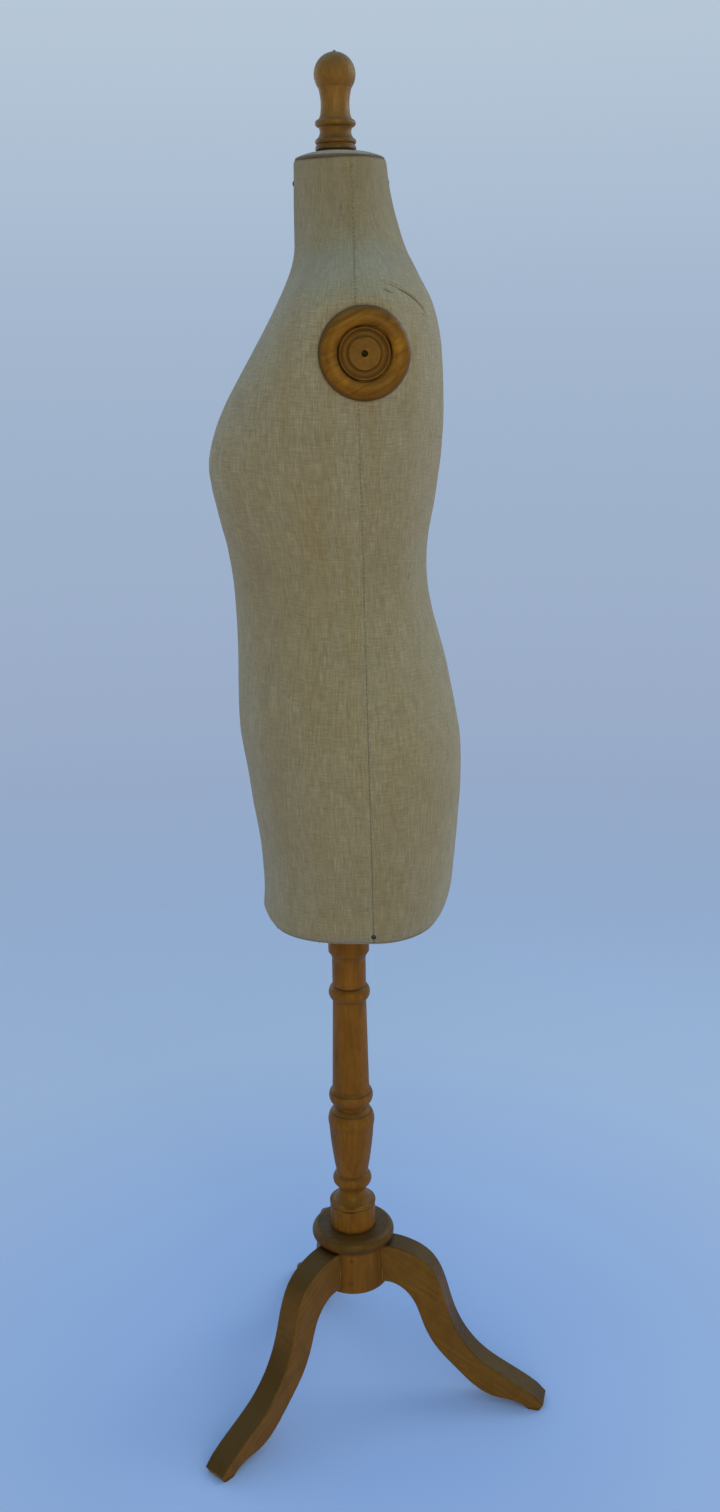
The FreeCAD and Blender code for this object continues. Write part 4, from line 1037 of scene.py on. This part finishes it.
def floor():
    """A pale floor of blue paper that fades into the background well away from the object."""
    rings, steps, far, fades_from, fades_to = 24, 96, 3.0, 0.8, 2.6
    points = [(POLE.x + far * (r / rings) * math.cos(2 * math.pi * k / steps),
               POLE.y + far * (r / rings) * math.sin(2 * math.pi * k / steps), 0)
              for r in range(rings, 0, -1) for k in range(steps)]
    points.append((POLE.x, POLE.y, 0))
    faces = grid_faces(rings, steps, True)
    inner = (rings - 1) * steps
    faces += [(len(points) - 1, inner + k, inner + (k + 1) % steps) for k in range(steps)]
    tree = Tree("pale_paper")
    away = tree.add("ShaderNodeVectorMath", {0: tree.place(shift=(-POLE.x, -POLE.y, 0))}, 1,
                    operation="LENGTH")
    speckle = tree.noise((240, 240, 240), 3.0, 0.6)
    cloud = tree.noise((1.3, 1.3, 1.3), 2.0, 0.5)
    shade = tree.mix(tree.between(away, 0.15, 0.95), colour(134, 152, 188), colour(160, 165, 180))
    shade = tree.layered(
        shade,
        (colour(150, 164, 184), speckle, 0.3, 0.7, 0.0, 0.05),
        (colour(168, 178, 206), cloud, 0.3, 0.7, 0.0, 0.12),
    )
    paper = tree.finish(Base_Color=shade, Roughness=0.9)
    clear = tree.nodes.new("ShaderNodeBsdfTransparent")
    blend = tree.nodes.new("ShaderNodeMixShader")
    faded = tree.add("ShaderNodeMapRange", {
        "Value": away, "From Min": fades_from, "From Max": fades_to,
    }, interpolation_type="SMOOTHSTEP")
    tree.put(faded, blend.inputs[0])
    tree.links.new(tree.shader.outputs[0], blend.inputs[1])
    tree.links.new(clear.outputs[0], blend.inputs[2])
    tree.links.new(blend.outputs[0], tree.nodes["Material Output"].inputs["Surface"])
    new_object("floor", points, faces, paper)


def area_light(name, place, target, size, power, tint):
    """A softbox that faces its target."""
    data = bpy.data.lights.new(name, "AREA")
    data.shape = "RECTANGLE"
    data.size, data.size_y = size
    data.energy = power
    data.color = tint
    lamp = bpy.data.objects.new(name, data)
    bpy.context.scene.collection.objects.link(lamp)
    lamp.location = place
    lamp.rotation_euler = (Vector(place) - Vector(target)).to_track_quat("Z", "Y").to_euler()


def ramp_of(nodes, links, value, stops):
    """A colour that goes through (place, colour) stops as a value goes from 0 to 1."""
    node = nodes.new("ShaderNodeValToRGB")
    elements = node.color_ramp.elements
    while len(elements) < len(stops):
        elements.new(0.5)
    for element, (place, shade) in zip(elements, stops):
        element.position = place
        element.color = shade
    links.new(value, node.inputs[0])
    return node.outputs["Color"]


def daylight():
    """Cool daylight from all round, bluer from above.

    What is seen behind the object is a paper backdrop's plain gradient, not the daylight itself.
    """
    world = bpy.data.worlds.new("soft_daylight")
    world.use_nodes = True
    nodes, links = world.node_tree.nodes, world.node_tree.links
    way = nodes.new("ShaderNodeTexCoord").outputs["Generated"]
    split = nodes.new("ShaderNodeSeparateXYZ")
    links.new(way, split.inputs[0])
    steep = nodes.new("ShaderNodeMapRange")
    steep.inputs["From Min"].default_value = -1
    links.new(split.outputs["Z"], steep.inputs["Value"])
    steep = steep.outputs[0]
    sky = ramp_of(nodes, links, steep, ((0.5, (0.84, 0.85, 0.92, 1)), (1.0, (0.50, 1.02, 1.50, 1))))
    backdrop = ramp_of(nodes, links, steep, (
        (0.20, colour(128, 158, 206)), (0.30, colour(142, 167, 202)), (0.38, colour(154, 172, 200)),
        (0.50, colour(163, 182, 206)), (0.60, colour(184, 200, 216)),
    ))
    light = nodes["Background"]
    links.new(sky, light.inputs["Color"])
    light.inputs["Strength"].default_value = 0.84
    seen = nodes.new("ShaderNodeBackground")
    links.new(backdrop, seen.inputs["Color"])
    blend = nodes.new("ShaderNodeMixShader")
    links.new(nodes.new("ShaderNodeLightPath").outputs["Is Camera Ray"], blend.inputs[0])
    links.new(light.outputs[0], blend.inputs[1])
    links.new(seen.outputs[0], blend.inputs[2])
    links.new(blend.outputs[0], nodes["World Output"].inputs["Surface"])
    bpy.context.scene.world = world


def lights():
    """A window behind, a warmer fill on the camera's side and a weak light on the far side."""
    chest = (POLE.x, POLE.y, 1.1)
    area_light("window", (-0.9, 2.4, 2.3), chest, (1.8, 1.8), 30, (0.90, 0.98, 0.96))
    area_light("fill", (2.8, 0.4, 1.4), chest, (2.0, 2.0), 40, (1.0, 0.93, 0.80))
    area_light("far_side", (-1.9, -2.2, 1.5), chest, (2.0, 2.0), 14, (1.0, 0.95, 0.86))
    bpy.context.scene.view_settings.view_transform = "Standard"


def camera():
    """Looks along -X at the object's left side, tipped down and leaning a little."""
    distance, aside, height = 1.70, 0.017, 1.34
    tipped, leaning = math.radians(15.8), math.radians(-0.77)
    seen = bpy.data.objects.new("camera", bpy.data.cameras.new("camera"))
    bpy.context.scene.collection.objects.link(seen)
    seen.data.lens = 35.71
    seen.data.sensor_width = 36
    seen.matrix_world = (Matrix.Translation((POLE.x + distance, POLE.y + aside, height))
                         @ Matrix.Rotation(math.radians(90), 4, "Z")
                         @ Matrix.Rotation(math.radians(90) - tipped, 4, "X")
                         @ Matrix.Rotation(leaning, 4, "Z"))
    bpy.context.scene.camera = seen


finish_cad_nodes()
add_cover()
neck_disc()
knob_nib()
floor()
daylight()
lights()
camera()
